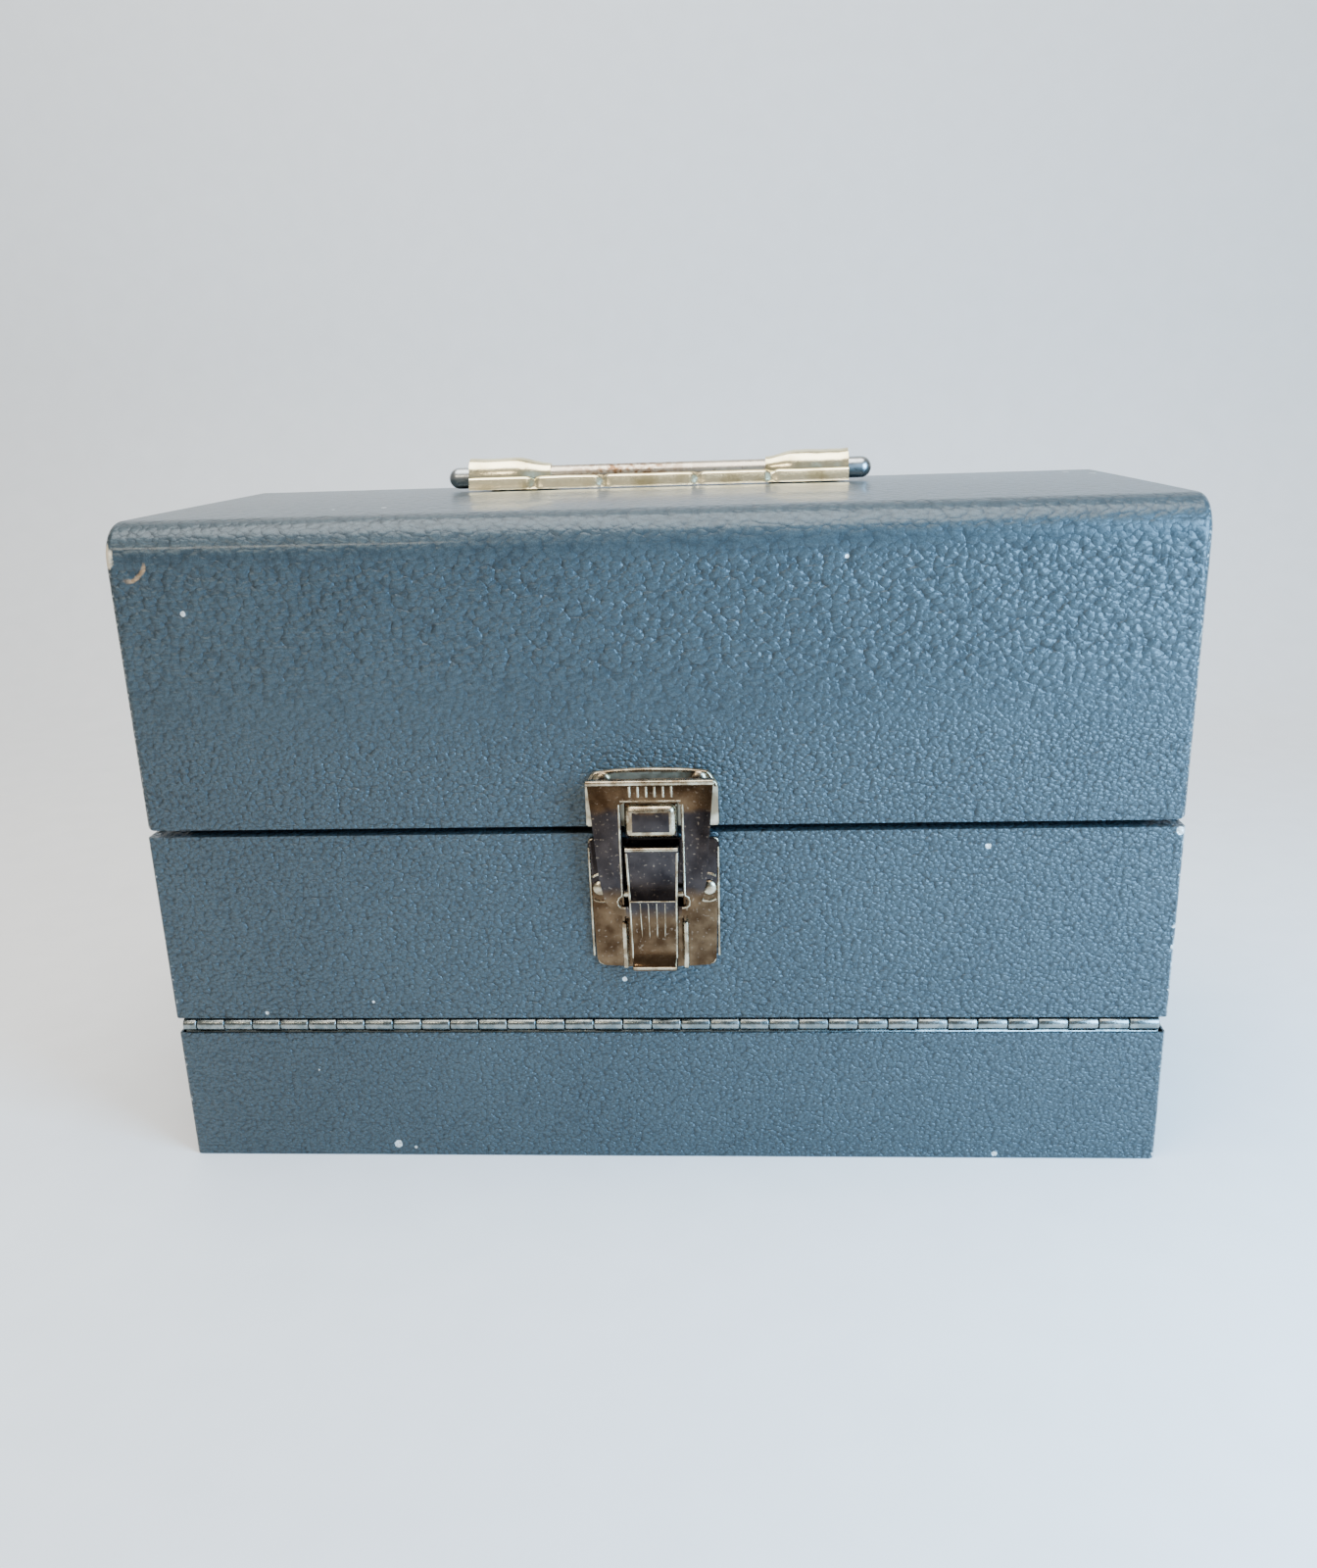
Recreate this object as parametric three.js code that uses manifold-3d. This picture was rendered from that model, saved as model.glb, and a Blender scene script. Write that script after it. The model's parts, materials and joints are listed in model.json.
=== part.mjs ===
// Sheet-steel sewing box: deep lid on a rear piano hinge, drop-front flap on a front piano hinge,
// draw latch, folding carrying handle and two cantilever trays that rise as the lid opens.
// Millimetres, +Z up, +X to the right, the front faces -Y. The origin is under the case's middle.
import * as THREE from 'three';
import { mergeVertices } from 'three/addons/utils/BufferGeometryUtils.js';
import Module from 'manifold-3d';

const wasm = await Module();
wasm.setup();

// ---- Driving dimensions -------------------------------------------------------------------
const WIDTH = 330;
const DEPTH = 151;
const SHEET = 1; // case steel
const TRAY_SHEET = 0.8;
const GAP = 0.3; // between pieces that touch
const SIDE = WIDTH / 2;
const FRONT = -DEPTH / 2;
const REAR = DEPTH / 2;
const SIDES = [['left', -1], ['right', 1]];

const LID_TOP = 217; // at the front and rear bends
const CROWN = 2; // how much the lid's top rises between the bends
const LID_BEND = 11.7;
const LID_BOTTOM = 119.6;
const BASE_TOP = 118.9;
const FLAP_TOP = 117.2;
const FLAP_BOTTOM = 52.5;
const PANEL_TOP = 46.9; // fixed panel under the drop front
const FLAP_RETURN = 8;

const BARREL_R = 2.15;
const BORE_R = 1.05;
const PIN_R = 0.75;
const LEAF = 0.9;
const LEAF_START = BARREL_R + 0.35;
const LEAF_END = 14;
const KNUCKLE = 9.72; // pitch along the hinge
const KNUCKLE_COUNT = 33;
const FRONT_AXIS = { y: FRONT + 1.4, z: 49.9 };
const REAR_AXIS = { y: REAR + GAP + BARREL_R, z: (LID_BOTTOM + BASE_TOP) / 2 };
const FRONT_LEAF = { y: -0.1, strapStart: 1.2 }; // both measured from the hinge axis
const REAR_LEAF = { y: -BARREL_R, strapStart: 0 };

const TRAY_HALF = 157;
const TRAY_FRONT = -62;
const TRAY_REAR = 63;
const LOWER_TRAY = { bottom: 103, top: 139 };
const UPPER_TRAY = { bottom: 142, top: 174 };
const ARM_IN = 160; // the arms' inner face, from the middle
const ARM_THICK = 1.5;
const ARM_R = 5;
const STUD_R = 1.5;
const BASE_REACH = { y: -38, z: 8 }; // from a base pivot to its lower-tray pivot
const TRAY_REACH = { y: -38, z: 18 }; // from a lower-tray pivot to its upper-tray pivot
const BASE_PIVOTS = [{ y: -10, z: 104 }, { y: 62, z: 104 }];
const MID_PIVOTS = [{ y: -12, z: 134 }, { y: 60, z: 134 }];
const LID_PIVOT = add(add(REAR_AXIS, BASE_REACH), TRAY_REACH);

const PLATE = 1.2; // latch sheet
const PLATE_FACE = FRONT - GAP - PLATE;
const LATCH_PIN_R = 1;
const LATCH_BORE_R = LATCH_PIN_R + GAP;
const LEVER_AXIS = { y: FRONT - 6, z: 112.8 };
const HASP_AXIS = { y: FRONT - 5.7, z: 98.6 };
const LEVER = { half: 8.6, bottom: 74.2, top: 114.6, face: FRONT - 9.7, back: FRONT - 5.1, earR: 2.9 };
const THUMB_LIP = { out: 1.2, height: 1.6 }; // the curl at the lever's free end
const HASP = { top: 136.8, topHalf: 20, sideHalf: 17.3, bendTop: 102, bottom: 89.5, face: FRONT - 7.7 };
const HASP_WINDOW = { half: 9.3, top: 129.4 };
const HASP_LIP = { out: 1.6, height: 1.4 };
const HASP_FOOT = { back: FRONT - 3.2, thick: 1.3, height: 4 }; // passes behind the lever
const KEEPER = { half: 8.3, bottom: 117.9, top: 128.9, front: FRONT - 9.2, bevel: 1.6 };
const STRIKE = { half: 21.3, shoulder: 134.5, corner: 17.5, cornerTop: 138, crest: 139 };
const BASE_PLATE = { half: 20.9, bottom: 71.8, top: 115.9, cornerR: 2.4 };
const BASE_EAR = { near: 5.3, far: 6.9, r: 2.1 };
const RAIL = { near: 9, far: 10.6, bottom: 72.6, top: 88.5, front: FRONT - 5 };
const RIVET_R = 1.6;
const RIVET_HOLE_R = RIVET_R + GAP;
const STRIKE_RIVET = { x: 15, z: 135.4 };
const BASE_RIVET = { x: 17.4, z: 99.2 };

const ROD_R = 3.6;
const ROD_LENGTH = 148;
const ROD_AXIS = { y: 6, z: LID_TOP + CROWN + 4.3 };
const HANDLE_AXIS = { y: 36, z: LID_TOP + CROWN + 3.2 };
const HANDLE_HALF = 65.8;
const LEG_INNER = 38.3; // inner edge of a handle leg
const HANDLE_SHEET = 1.2;
const CURL_R = 6.8; // the leg's curl over the rod, outside
const HANDLE_PIN_R = 1;
const HANDLE_BORE_R = HANDLE_PIN_R + GAP;
const HANDLE_KNUCKLE_R = 2.5;
const BRACKET = { middle: 52, half: 13, rivetY: 48, thick: 1.2, knuckle: [6.6, 12.7] };
const BRACKET_FLOOR = LID_TOP + CROWN + 0.1;
const GRIP_FLOOR = BRACKET_FLOOR + 0.4; // the underside of the grip's front bar and legs
const BAR_LEAN = 1.2; // how far the front bar's foot stands ahead of its top

// ---- Materials ----------------------------------------------------------------------------
const enamel = steel(0x3f6377, 0.42, 0.3);
const hingeSteel = steel(0x8d9496, 0.4, 0.9);
const latchNickel = steel(0x8f8371, 0.25, 1);
const handlePlate = steel(0xb3aa90, 0.35, 1);
const rodSteel = steel(0x8a8a86, 0.35, 1);
const zincSteel = steel(0x9aa0a3, 0.45, 0.9);
const trayEnamel = steel(0x8f9aa0, 0.45, 0.3);

function steel(color, roughness, metalness) {
  return new THREE.MeshStandardMaterial({ color, roughness, metalness });
}

// ---- Geometry helpers ---------------------------------------------------------------------
function add(a, b) {
  return { y: a.y + b.y, z: a.z + b.z };
}

function solid(geometry) {
  geometry.deleteAttribute('normal');
  geometry.deleteAttribute('uv');
  const merged = mergeVertices(geometry, 1e-4);
  return new wasm.Manifold(new wasm.Mesh({
    numProp: 3,
    vertProperties: new Float32Array(merged.attributes.position.array),
    triVerts: new Uint32Array(merged.index.array),
  }));
}

function box(x0, x1, y0, y1, z0, z1) {
  const geometry = new THREE.BoxGeometry(x1 - x0, y1 - y0, z1 - z0);
  return solid(geometry.translate((x0 + x1) / 2, (y0 + y1) / 2, (z0 + z1) / 2));
}

// A (y, z) outline carried along X from x0 to x1.
function prismX(shape, x0, x1, curveSegments = 6) {
  const geometry = new THREE.ExtrudeGeometry(shape, { depth: x1 - x0, bevelEnabled: false, curveSegments });
  const turn = new THREE.Matrix4().set(0, 0, 1, x0, 1, 0, 0, 0, 0, 1, 0, 0, 0, 0, 0, 1);
  return solid(geometry.applyMatrix4(turn));
}

// An (x, z) outline carried along Y from y0 to y1.
function prismY(shape, y0, y1, curveSegments = 6) {
  const geometry = new THREE.ExtrudeGeometry(shape, { depth: y1 - y0, bevelEnabled: false, curveSegments });
  return solid(geometry.rotateX(Math.PI / 2).translate(0, y1, 0));
}

function rodX(radius, x0, x1, at, sides = 12) {
  const geometry = new THREE.CylinderGeometry(radius, radius, x1 - x0, sides);
  return solid(geometry.rotateZ(Math.PI / 2).translate((x0 + x1) / 2, at.y, at.z));
}

function rodY(radius, y0, y1, x, z, sides = 12) {
  const geometry = new THREE.CylinderGeometry(radius, radius, y1 - y0, sides);
  return solid(geometry.translate(x, (y0 + y1) / 2, z));
}

function rodZ(radius, z0, z1, x, y, sides = 12) {
  const geometry = new THREE.CylinderGeometry(radius, radius, z1 - z0, sides);
  return solid(geometry.rotateX(Math.PI / 2).translate(x, y, (z0 + z1) / 2));
}

function join(parts) {
  return parts.reduce((whole, part) => whole.add(part));
}

function roundedRectangle(x0, x1, z0, z1, r) {
  const shape = new THREE.Shape();
  shape.absarc(x1 - r, z0 + r, r, -Math.PI / 2, 0);
  shape.absarc(x1 - r, z1 - r, r, 0, Math.PI / 2);
  shape.absarc(x0 + r, z1 - r, r, Math.PI / 2, Math.PI);
  shape.absarc(x0 + r, z0 + r, r, Math.PI, 1.5 * Math.PI);
  return shape;
}

const sewingBox = new THREE.Group();

function piece(name, manifold, material) {
  const { numProp, vertProperties, triVerts } = manifold.getMesh();
  const position = new Float32Array((vertProperties.length / numProp) * 3);
  for (let i = 0; i < position.length / 3; i += 1) {
    position.set(vertProperties.subarray(i * numProp, i * numProp + 3), i * 3);
  }
  const geometry = new THREE.BufferGeometry();
  geometry.setAttribute('position', new THREE.BufferAttribute(position, 3));
  geometry.setIndex(new THREE.BufferAttribute(new Uint32Array(triVerts), 1));
  geometry.computeVertexNormals();
  const mesh = new THREE.Mesh(geometry, material);
  mesh.name = name;
  sewingBox.add(mesh);
}

// A span from |x| = near to |x| = far on the side given by sign.
function span(sign, near, far) {
  return sign > 0 ? [near, far] : [-far, -near];
}

// ---- Case ---------------------------------------------------------------------------------
function baseShell() {
  const outside = box(-SIDE, SIDE, FRONT, REAR, 0, BASE_TOP);
  const inside = box(-SIDE + SHEET, SIDE - SHEET, FRONT + SHEET, REAR - SHEET, SHEET, BASE_TOP + 1);
  const doorway = box(-SIDE - 1, SIDE + 1, FRONT - 1, FRONT + FLAP_RETURN + SHEET, PANEL_TOP, BASE_TOP + 1);
  return outside.subtract(inside).subtract(doorway);
}

// An angle inside each side wall that the flap's side returns close against.
function jamb(sign) {
  const outer = SIDE - SHEET - GAP;
  const face = FRONT + 4.2;
  const cheek = box(...span(sign, outer - SHEET, outer), face, face + 21, PANEL_TOP, 116);
  const flange = box(...span(sign, outer - 7, outer), face, face + SHEET, PANEL_TOP + 20, 116);
  return cheek.add(flange);
}

function frontFlap() {
  const outside = box(-SIDE, SIDE, FRONT, FRONT + FLAP_RETURN, FLAP_BOTTOM, FLAP_TOP);
  const inside = box(-SIDE + SHEET, SIDE - SHEET, FRONT + SHEET, FRONT + FLAP_RETURN + 1, FLAP_BOTTOM - 1,
    FLAP_TOP - SHEET);
  return pierced(outside.subtract(inside), BASE_RIVET);
}

// The lid's front, top and rear are one sheet: two bends with a slight crown between them.
function lidOutline(inset, bottom) {
  const r = LID_BEND - inset;
  const top = LID_TOP - inset;
  const shape = new THREE.Shape();
  shape.moveTo(REAR - inset, bottom);
  shape.lineTo(REAR - inset, LID_TOP - LID_BEND);
  shape.absarc(REAR - LID_BEND, LID_TOP - LID_BEND, r, 0, Math.PI / 2);
  shape.quadraticCurveTo(0, top + 2 * CROWN, FRONT + LID_BEND, top);
  shape.absarc(FRONT + LID_BEND, LID_TOP - LID_BEND, r, Math.PI / 2, Math.PI);
  shape.lineTo(FRONT + inset, bottom);
  return shape;
}

function lidShell() {
  const outside = prismX(lidOutline(0, LID_BOTTOM), -SIDE, SIDE);
  const inside = prismX(lidOutline(SHEET, LID_BOTTOM - 1), -SIDE + SHEET, SIDE - SHEET);
  let shell = pierced(outside.subtract(inside), STRIKE_RIVET);
  for (const [, sign] of SIDES) {
    const x = sign * BRACKET.middle;
    shell = shell.subtract(rodZ(RIVET_HOLE_R, LID_TOP - 3, LID_TOP + 4, x, BRACKET.rivetY));
  }
  return shell;
}

// ---- Piano hinges -------------------------------------------------------------------------
// One leaf with every other knuckle: up is +1 for a leaf that rises from the axis and -1 for one
// that hangs below it. A short strap joins each knuckle to the plate.
function hingeLeaf(axis, leaf, up, parity) {
  const length = (KNUCKLE_COUNT + 0.5) * KNUCKLE;
  const start = -length / 2;
  const zs = (a, b) => (up > 0 ? [axis.z + a, axis.z + b] : [axis.z - b, axis.z - a]);
  const ys = [axis.y + leaf.y, axis.y + leaf.y + LEAF];
  const parts = [box(start, start + length, ...ys, ...zs(LEAF_START, LEAF_END))];
  for (let i = parity; i <= KNUCKLE_COUNT; i += 2) {
    const x0 = i === 0 ? start : start + (i - 0.5) * KNUCKLE;
    const x1 = start + (i + 0.5) * KNUCKLE - GAP;
    parts.push(rodX(BARREL_R, x0, x1, axis, 8));
    parts.push(box(x0, x1, ...ys, ...zs(leaf.strapStart, LEAF_START + 0.1)));
  }
  return join(parts).subtract(rodX(BORE_R, start - 1, start + length + 1, axis, 8));
}

function hingePin(axis) {
  const half = ((KNUCKLE_COUNT + 0.5) * KNUCKLE) / 2;
  return rodX(PIN_R, -half + 0.5, half - 0.5, axis, 8);
}

// ---- Draw latch ---------------------------------------------------------------------------
// Rivet holes through a front plate, one at each side.
function pierced(plate, at) {
  const holes = SIDES.map(([, sign]) => rodY(RIVET_HOLE_R, FRONT - 3, FRONT + 2, sign * at.x, at.z));
  return holes.reduce((rest, hole) => rest.subtract(hole), plate);
}

function strikePlate() {
  const { half, shoulder, corner, cornerTop, crest } = STRIKE;
  const shape = new THREE.Shape();
  shape.moveTo(-half + 0.4, LID_BOTTOM + 0.4);
  shape.lineTo(half - 0.4, LID_BOTTOM + 0.4);
  shape.lineTo(half, shoulder);
  shape.quadraticCurveTo(half - 0.3, cornerTop - 0.4, corner, cornerTop);
  shape.quadraticCurveTo(0, 2 * crest - cornerTop, -corner, cornerTop);
  shape.quadraticCurveTo(-half + 0.3, cornerTop - 0.4, -half, shoulder);
  return pierced(prismY(shape, PLATE_FACE, FRONT - GAP), STRIKE_RIVET);
}

// The lug the hasp hooks over, with bevelled front edges.
function keeper() {
  const { half, bottom, top, front, bevel } = KEEPER;
  const back = PLATE_FACE - GAP;
  const body = new THREE.BoxGeometry(2 * half, back - front, top - bottom);
  const corners = body.attributes.position;
  for (let i = 0; i < corners.count; i += 1) {
    if (corners.getY(i) < 0) {
      corners.setX(i, corners.getX(i) - Math.sign(corners.getX(i)) * bevel);
      corners.setZ(i, corners.getZ(i) - Math.sign(corners.getZ(i)) * bevel);
    }
  }
  return solid(body.translate(0, (back + front) / 2, (top + bottom) / 2));
}

// Riveted to the flap: two ears hold the lever's pin and a rail stands at each side of its end.
function latchBase() {
  const { half, bottom, top, cornerR } = BASE_PLATE;
  const root = PLATE_FACE + 0.2;
  const parts = [prismY(roundedRectangle(-half, half, bottom, top, cornerR), PLATE_FACE, FRONT - GAP)];
  for (const [, sign] of SIDES) {
    const ear = span(sign, BASE_EAR.near, BASE_EAR.far);
    parts.push(box(...span(sign, RAIL.near, RAIL.far), RAIL.front, root, RAIL.bottom, RAIL.top));
    parts.push(box(...ear, LEVER_AXIS.y, root, LEVER_AXIS.z - BASE_EAR.r, LEVER_AXIS.z + BASE_EAR.r));
    parts.push(rodX(BASE_EAR.r, ...ear, LEVER_AXIS));
  }
  return pierced(join(parts), BASE_RIVET).subtract(rodX(LATCH_BORE_R, -half, half, LEVER_AXIS));
}

// A channel: front web, two flanges with an ear round the pivot, and a thumb end that curls out.
function latchLever() {
  const { half, bottom, top, face, back, earR } = LEVER;
  const web = face + PLATE;
  const parts = [box(-half, half, face, web, bottom, top)];
  for (const [, sign] of SIDES) {
    const flange = span(sign, half - PLATE, half);
    parts.push(box(...flange, face, back, bottom + 1, top));
    parts.push(rodX(earR, ...flange, LEVER_AXIS));
  }
  parts.push(box(-half, half, face - THUMB_LIP.out, web, bottom, bottom + THUMB_LIP.height));
  const bores = [LEVER_AXIS, HASP_AXIS].map((axis) => rodX(LATCH_BORE_R, -half - 1, half + 1, axis));
  return bores.reduce((rest, bore) => rest.subtract(bore), join(parts));
}

function haspOutline() {
  const { top, topHalf, sideHalf, bendTop, bottom } = HASP;
  const foot = HASP_WINDOW.half + 0.1;
  const shape = new THREE.Shape();
  shape.moveTo(-topHalf, top);
  shape.lineTo(-sideHalf, bendTop);
  shape.quadraticCurveTo(-sideHalf + 1, bottom, -foot, bottom);
  shape.lineTo(foot, bottom);
  shape.quadraticCurveTo(sideHalf - 1, bottom, sideHalf, bendTop);
  shape.lineTo(topHalf, top);
  return shape;
}

// A wide U of sheet with a flanged top, whose foot passes behind the lever.
function latchHasp() {
  const { top, topHalf, bottom, face } = HASP;
  const { half } = HASP_WINDOW;
  const back = face + PLATE;
  const footFront = HASP_FOOT.back - HASP_FOOT.thick;
  const opening = roundedRectangle(-half, half, bottom - 4, HASP_WINDOW.top, 1);
  const parts = [prismY(haspOutline(), face, back).subtract(prismY(opening, face - 1, back + 1))];
  parts.push(box(-topHalf, topHalf, face - HASP_LIP.out, face + 0.2, top - HASP_LIP.height, top));
  for (const [, sign] of SIDES) {
    parts.push(box(...span(sign, half, half + 1), back - 0.2, HASP_FOOT.back, bottom, HASP_AXIS.z + 2.4));
  }
  parts.push(box(-half - 1, half + 1, footFront, HASP_FOOT.back, bottom, bottom + HASP_FOOT.height));
  return join(parts).subtract(rodX(LATCH_BORE_R, -half - 3, half + 3, HASP_AXIS));
}

// Domed head outside, shank through both sheets and a small closed head inside.
function rivetProfile(headR, headHeight, grip) {
  const shape = new THREE.Path();
  shape.moveTo(0, headHeight);
  shape.quadraticCurveTo(headR * 0.8, headHeight, headR, GAP);
  const points = shape.getPoints(3);
  points.push(new THREE.Vector2(RIVET_R, GAP));
  points.push(new THREE.Vector2(RIVET_R, -grip - GAP));
  points.push(new THREE.Vector2(headR * 0.75, -grip - GAP));
  points.push(new THREE.Vector2(headR * 0.6, -grip - 1.3));
  points.push(new THREE.Vector2(0, -grip - 1.3));
  return points.reverse();
}

function rivet(headR, headHeight, grip) {
  return new THREE.LatheGeometry(rivetProfile(headR, headHeight, grip), 12);
}

function frontRivet(x, z) {
  return solid(rivet(2.5, 1.5, PLATE + GAP + SHEET).rotateZ(Math.PI).translate(x, PLATE_FACE, z));
}

// ---- Carrying handle ----------------------------------------------------------------------
function handleRod() {
  const points = [new THREE.Vector2(0, -ROD_LENGTH / 2)];
  for (let i = 1; i <= 4; i += 1) {
    const a = (i * Math.PI) / 8;
    points.push(new THREE.Vector2(ROD_R * Math.sin(a), -ROD_LENGTH / 2 + ROD_R * (1 - Math.cos(a))));
  }
  const upper = points.map((p) => new THREE.Vector2(p.x, -p.y)).reverse();
  const geometry = new THREE.LatheGeometry([...points, ...upper], 14);
  return solid(geometry.rotateZ(Math.PI / 2).translate(0, ROD_AXIS.y, ROD_AXIS.z));
}

// Leg profile from the front bar's foot, over the rod and back to the hinge axis.
function legOutline() {
  const c = ROD_AXIS;
  const inner = CURL_R - HANDLE_SHEET;
  const upper = HANDLE_AXIS.z + HANDLE_SHEET / 2;
  const lower = upper - HANDLE_SHEET;
  const shape = new THREE.Shape();
  shape.moveTo(c.y - CURL_R - BAR_LEAN, GRIP_FLOOR);
  shape.lineTo(c.y - CURL_R, c.z);
  shape.absarc(c.y, c.z, CURL_R, Math.PI, Math.asin((upper - c.z) / CURL_R), true);
  shape.lineTo(HANDLE_AXIS.y, upper);
  shape.lineTo(HANDLE_AXIS.y, lower);
  shape.absarc(c.y, c.z, inner, Math.asin((lower - c.z) / inner), Math.PI, false);
  shape.lineTo(c.y - inner - BAR_LEAN, GRIP_FLOOR);
  return shape;
}

function gripBar() {
  const foot = ROD_AXIS.y - CURL_R - BAR_LEAN;
  const top = ROD_AXIS.z + GAP;
  const shape = new THREE.Shape();
  shape.moveTo(foot, GRIP_FLOOR);
  shape.lineTo(foot + BAR_LEAN, top);
  shape.lineTo(foot + BAR_LEAN + HANDLE_SHEET, top);
  shape.lineTo(foot + HANDLE_SHEET, GRIP_FLOOR);
  return prismX(shape, -HANDLE_HALF, HANDLE_HALF);
}

// The two spans of x that a bracket's knuckles take up.
function bracketKnuckles(sign) {
  const middle = sign * BRACKET.middle;
  const [near, far] = BRACKET.knuckle;
  return [[middle - far, middle - near], [middle + near, middle + far]];
}

// Front bar, two legs that curl over the rod, an end collar and a knuckle on each leg.
function handlePlateBody() {
  const parts = [gripBar()];
  for (const [, sign] of SIDES) {
    parts.push(prismX(legOutline(), ...span(sign, LEG_INNER, HANDLE_HALF)));
    parts.push(rodX(CURL_R - 0.5, ...span(sign, HANDLE_HALF - 2, HANDLE_HALF), ROD_AXIS, 16));
    parts.push(rodX(HANDLE_KNUCKLE_R, ...span(sign, BRACKET.middle - 6, BRACKET.middle + 6), HANDLE_AXIS));
  }
  const reach = HANDLE_HALF + 1;
  const cuts = [
    box(-reach, reach, ROD_AXIS.y - 10, ROD_AXIS.y + 20, LID_TOP - 9, GRIP_FLOOR),
    rodX(ROD_R + GAP, -reach, reach, ROD_AXIS, 14),
    rodX(HANDLE_BORE_R, -reach, reach, HANDLE_AXIS),
  ];
  for (const [x0, x1] of SIDES.flatMap(([, sign]) => bracketKnuckles(sign))) {
    const clear = [x0 - GAP, x1 + GAP];
    cuts.push(box(...clear, HANDLE_AXIS.y - 3.2, HANDLE_AXIS.y + 3, BRACKET_FLOOR, HANDLE_AXIS.z + 4));
  }
  return cuts.reduce((rest, cut) => rest.subtract(cut), join(parts));
}

// A plate on the lid with a knuckle at each side of the handle's own knuckle.
function handleBracket(sign) {
  const middle = sign * BRACKET.middle;
  const xs = [middle - BRACKET.half, middle + BRACKET.half];
  const top = BRACKET_FLOOR + BRACKET.thick;
  const parts = [box(...xs, HANDLE_AXIS.y + 3, HANDLE_AXIS.y + 20, BRACKET_FLOOR, top)];
  for (const knuckle of bracketKnuckles(sign)) {
    parts.push(rodX(HANDLE_KNUCKLE_R, ...knuckle, HANDLE_AXIS));
    parts.push(box(...knuckle, HANDLE_AXIS.y, HANDLE_AXIS.y + 4, BRACKET_FLOOR + 0.6, top + 0.6));
  }
  const holes = rodX(HANDLE_BORE_R, xs[0] - 1, xs[1] + 1, HANDLE_AXIS)
    .add(rodZ(RIVET_HOLE_R, BRACKET_FLOOR - 1, BRACKET_FLOOR + 3, middle, BRACKET.rivetY));
  return join(parts).subtract(holes);
}

function bracketRivet(sign) {
  const grip = BRACKET.thick + CROWN + SHEET + 0.6;
  const top = BRACKET_FLOOR + BRACKET.thick;
  const upright = rivet(3, 1.6, grip).rotateX(Math.PI / 2);
  return solid(upright.translate(sign * BRACKET.middle, BRACKET.rivetY, top));
}

// ---- Trays and their arms -----------------------------------------------------------------
function stud(sign, at, reach = ARM_IN + ARM_THICK + 0.6) {
  return rodX(STUD_R, ...span(sign, TRAY_HALF - 0.4, reach), at, 10);
}

function openTray({ bottom, top }) {
  const t = TRAY_SHEET;
  const outside = box(-TRAY_HALF, TRAY_HALF, TRAY_FRONT, TRAY_REAR, bottom, top);
  const half = TRAY_HALF - t;
  return outside.subtract(box(-half, half, TRAY_FRONT + t, TRAY_REAR - t, bottom + t, top + 1));
}

function lowerTray() {
  const pivots = BASE_PIVOTS.map((p) => add(p, BASE_REACH)).concat(MID_PIVOTS);
  const studs = SIDES.flatMap(([, sign]) => pivots.map((p) => stud(sign, p)));
  return join([openTray(LOWER_TRAY), ...studs]);
}

function upperTray() {
  const pivots = MID_PIVOTS.map((p) => add(p, TRAY_REACH));
  const studs = SIDES.flatMap(([, sign]) => pivots.map((p) => stud(sign, p)));
  return join([openTray(UPPER_TRAY), ...studs]).subtract(rodX(STUD_R + GAP, -SIDE, SIDE, LID_PIVOT));
}

// A flat link with round ends and a hole at each pivot.
function arm(sign, from, reach) {
  const to = add(from, reach);
  const a = Math.atan2(reach.z, reach.y);
  const shape = new THREE.Shape();
  shape.absarc(from.y, from.z, ARM_R, a + Math.PI / 2, a + 1.5 * Math.PI);
  shape.absarc(to.y, to.z, ARM_R, a - Math.PI / 2, a + Math.PI / 2);
  const xs = span(sign, ARM_IN, ARM_IN + ARM_THICK);
  const link = prismX(shape, ...xs, 5);
  return [from, to].reduce((whole, p) => whole.subtract(rodX(STUD_R + GAP, -SIDE, SIDE, p, 10)), link);
}

// Riveted inside a side wall; its studs carry the two lowest arms.
function armPlate(sign) {
  const outer = SIDE - SHEET - GAP;
  const plate = box(...span(sign, outer - 1, outer), BASE_PIVOTS[0].y - 8, BASE_PIVOTS[1].y + 7, 92, 116);
  const studs = BASE_PIVOTS.map((p) => rodX(STUD_R, ...span(sign, ARM_IN - 0.6, outer - 0.5), p, 10));
  return join([plate, ...studs]);
}

// The stud inside the lid that lifts the upper tray.
function lidPivot(sign) {
  const outer = SIDE - SHEET - GAP;
  const flange = rodX(6, ...span(sign, outer - 1.2, outer), LID_PIVOT, 16);
  return flange.add(rodX(STUD_R, ...span(sign, TRAY_HALF - TRAY_SHEET - 0.6, outer - 1), LID_PIVOT, 10));
}

// Cross walls stand between the tray's front and rear walls.
function crossWall(tray, x, y0, y1) {
  const t = TRAY_SHEET;
  return box(x - t / 2, x + t / 2, y0, y1, tray.bottom + t + GAP, tray.top - 3);
}

function longWall(tray, y) {
  const t = TRAY_SHEET;
  const half = TRAY_HALF - t - GAP;
  return box(-half, half, y - t / 2, y + t / 2, tray.bottom + t + GAP, tray.top - 3);
}

// ---- Assembly -----------------------------------------------------------------------------
piece('base_shell', baseShell(), enamel);
piece('front_hinge_base_leaf', hingeLeaf(FRONT_AXIS, FRONT_LEAF, -1, 1), hingeSteel);
piece('front_hinge_pin', hingePin(FRONT_AXIS), hingeSteel);
piece('rear_hinge_base_leaf', hingeLeaf(REAR_AXIS, REAR_LEAF, -1, 1), hingeSteel);
piece('rear_hinge_pin', hingePin(REAR_AXIS), hingeSteel);

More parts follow.
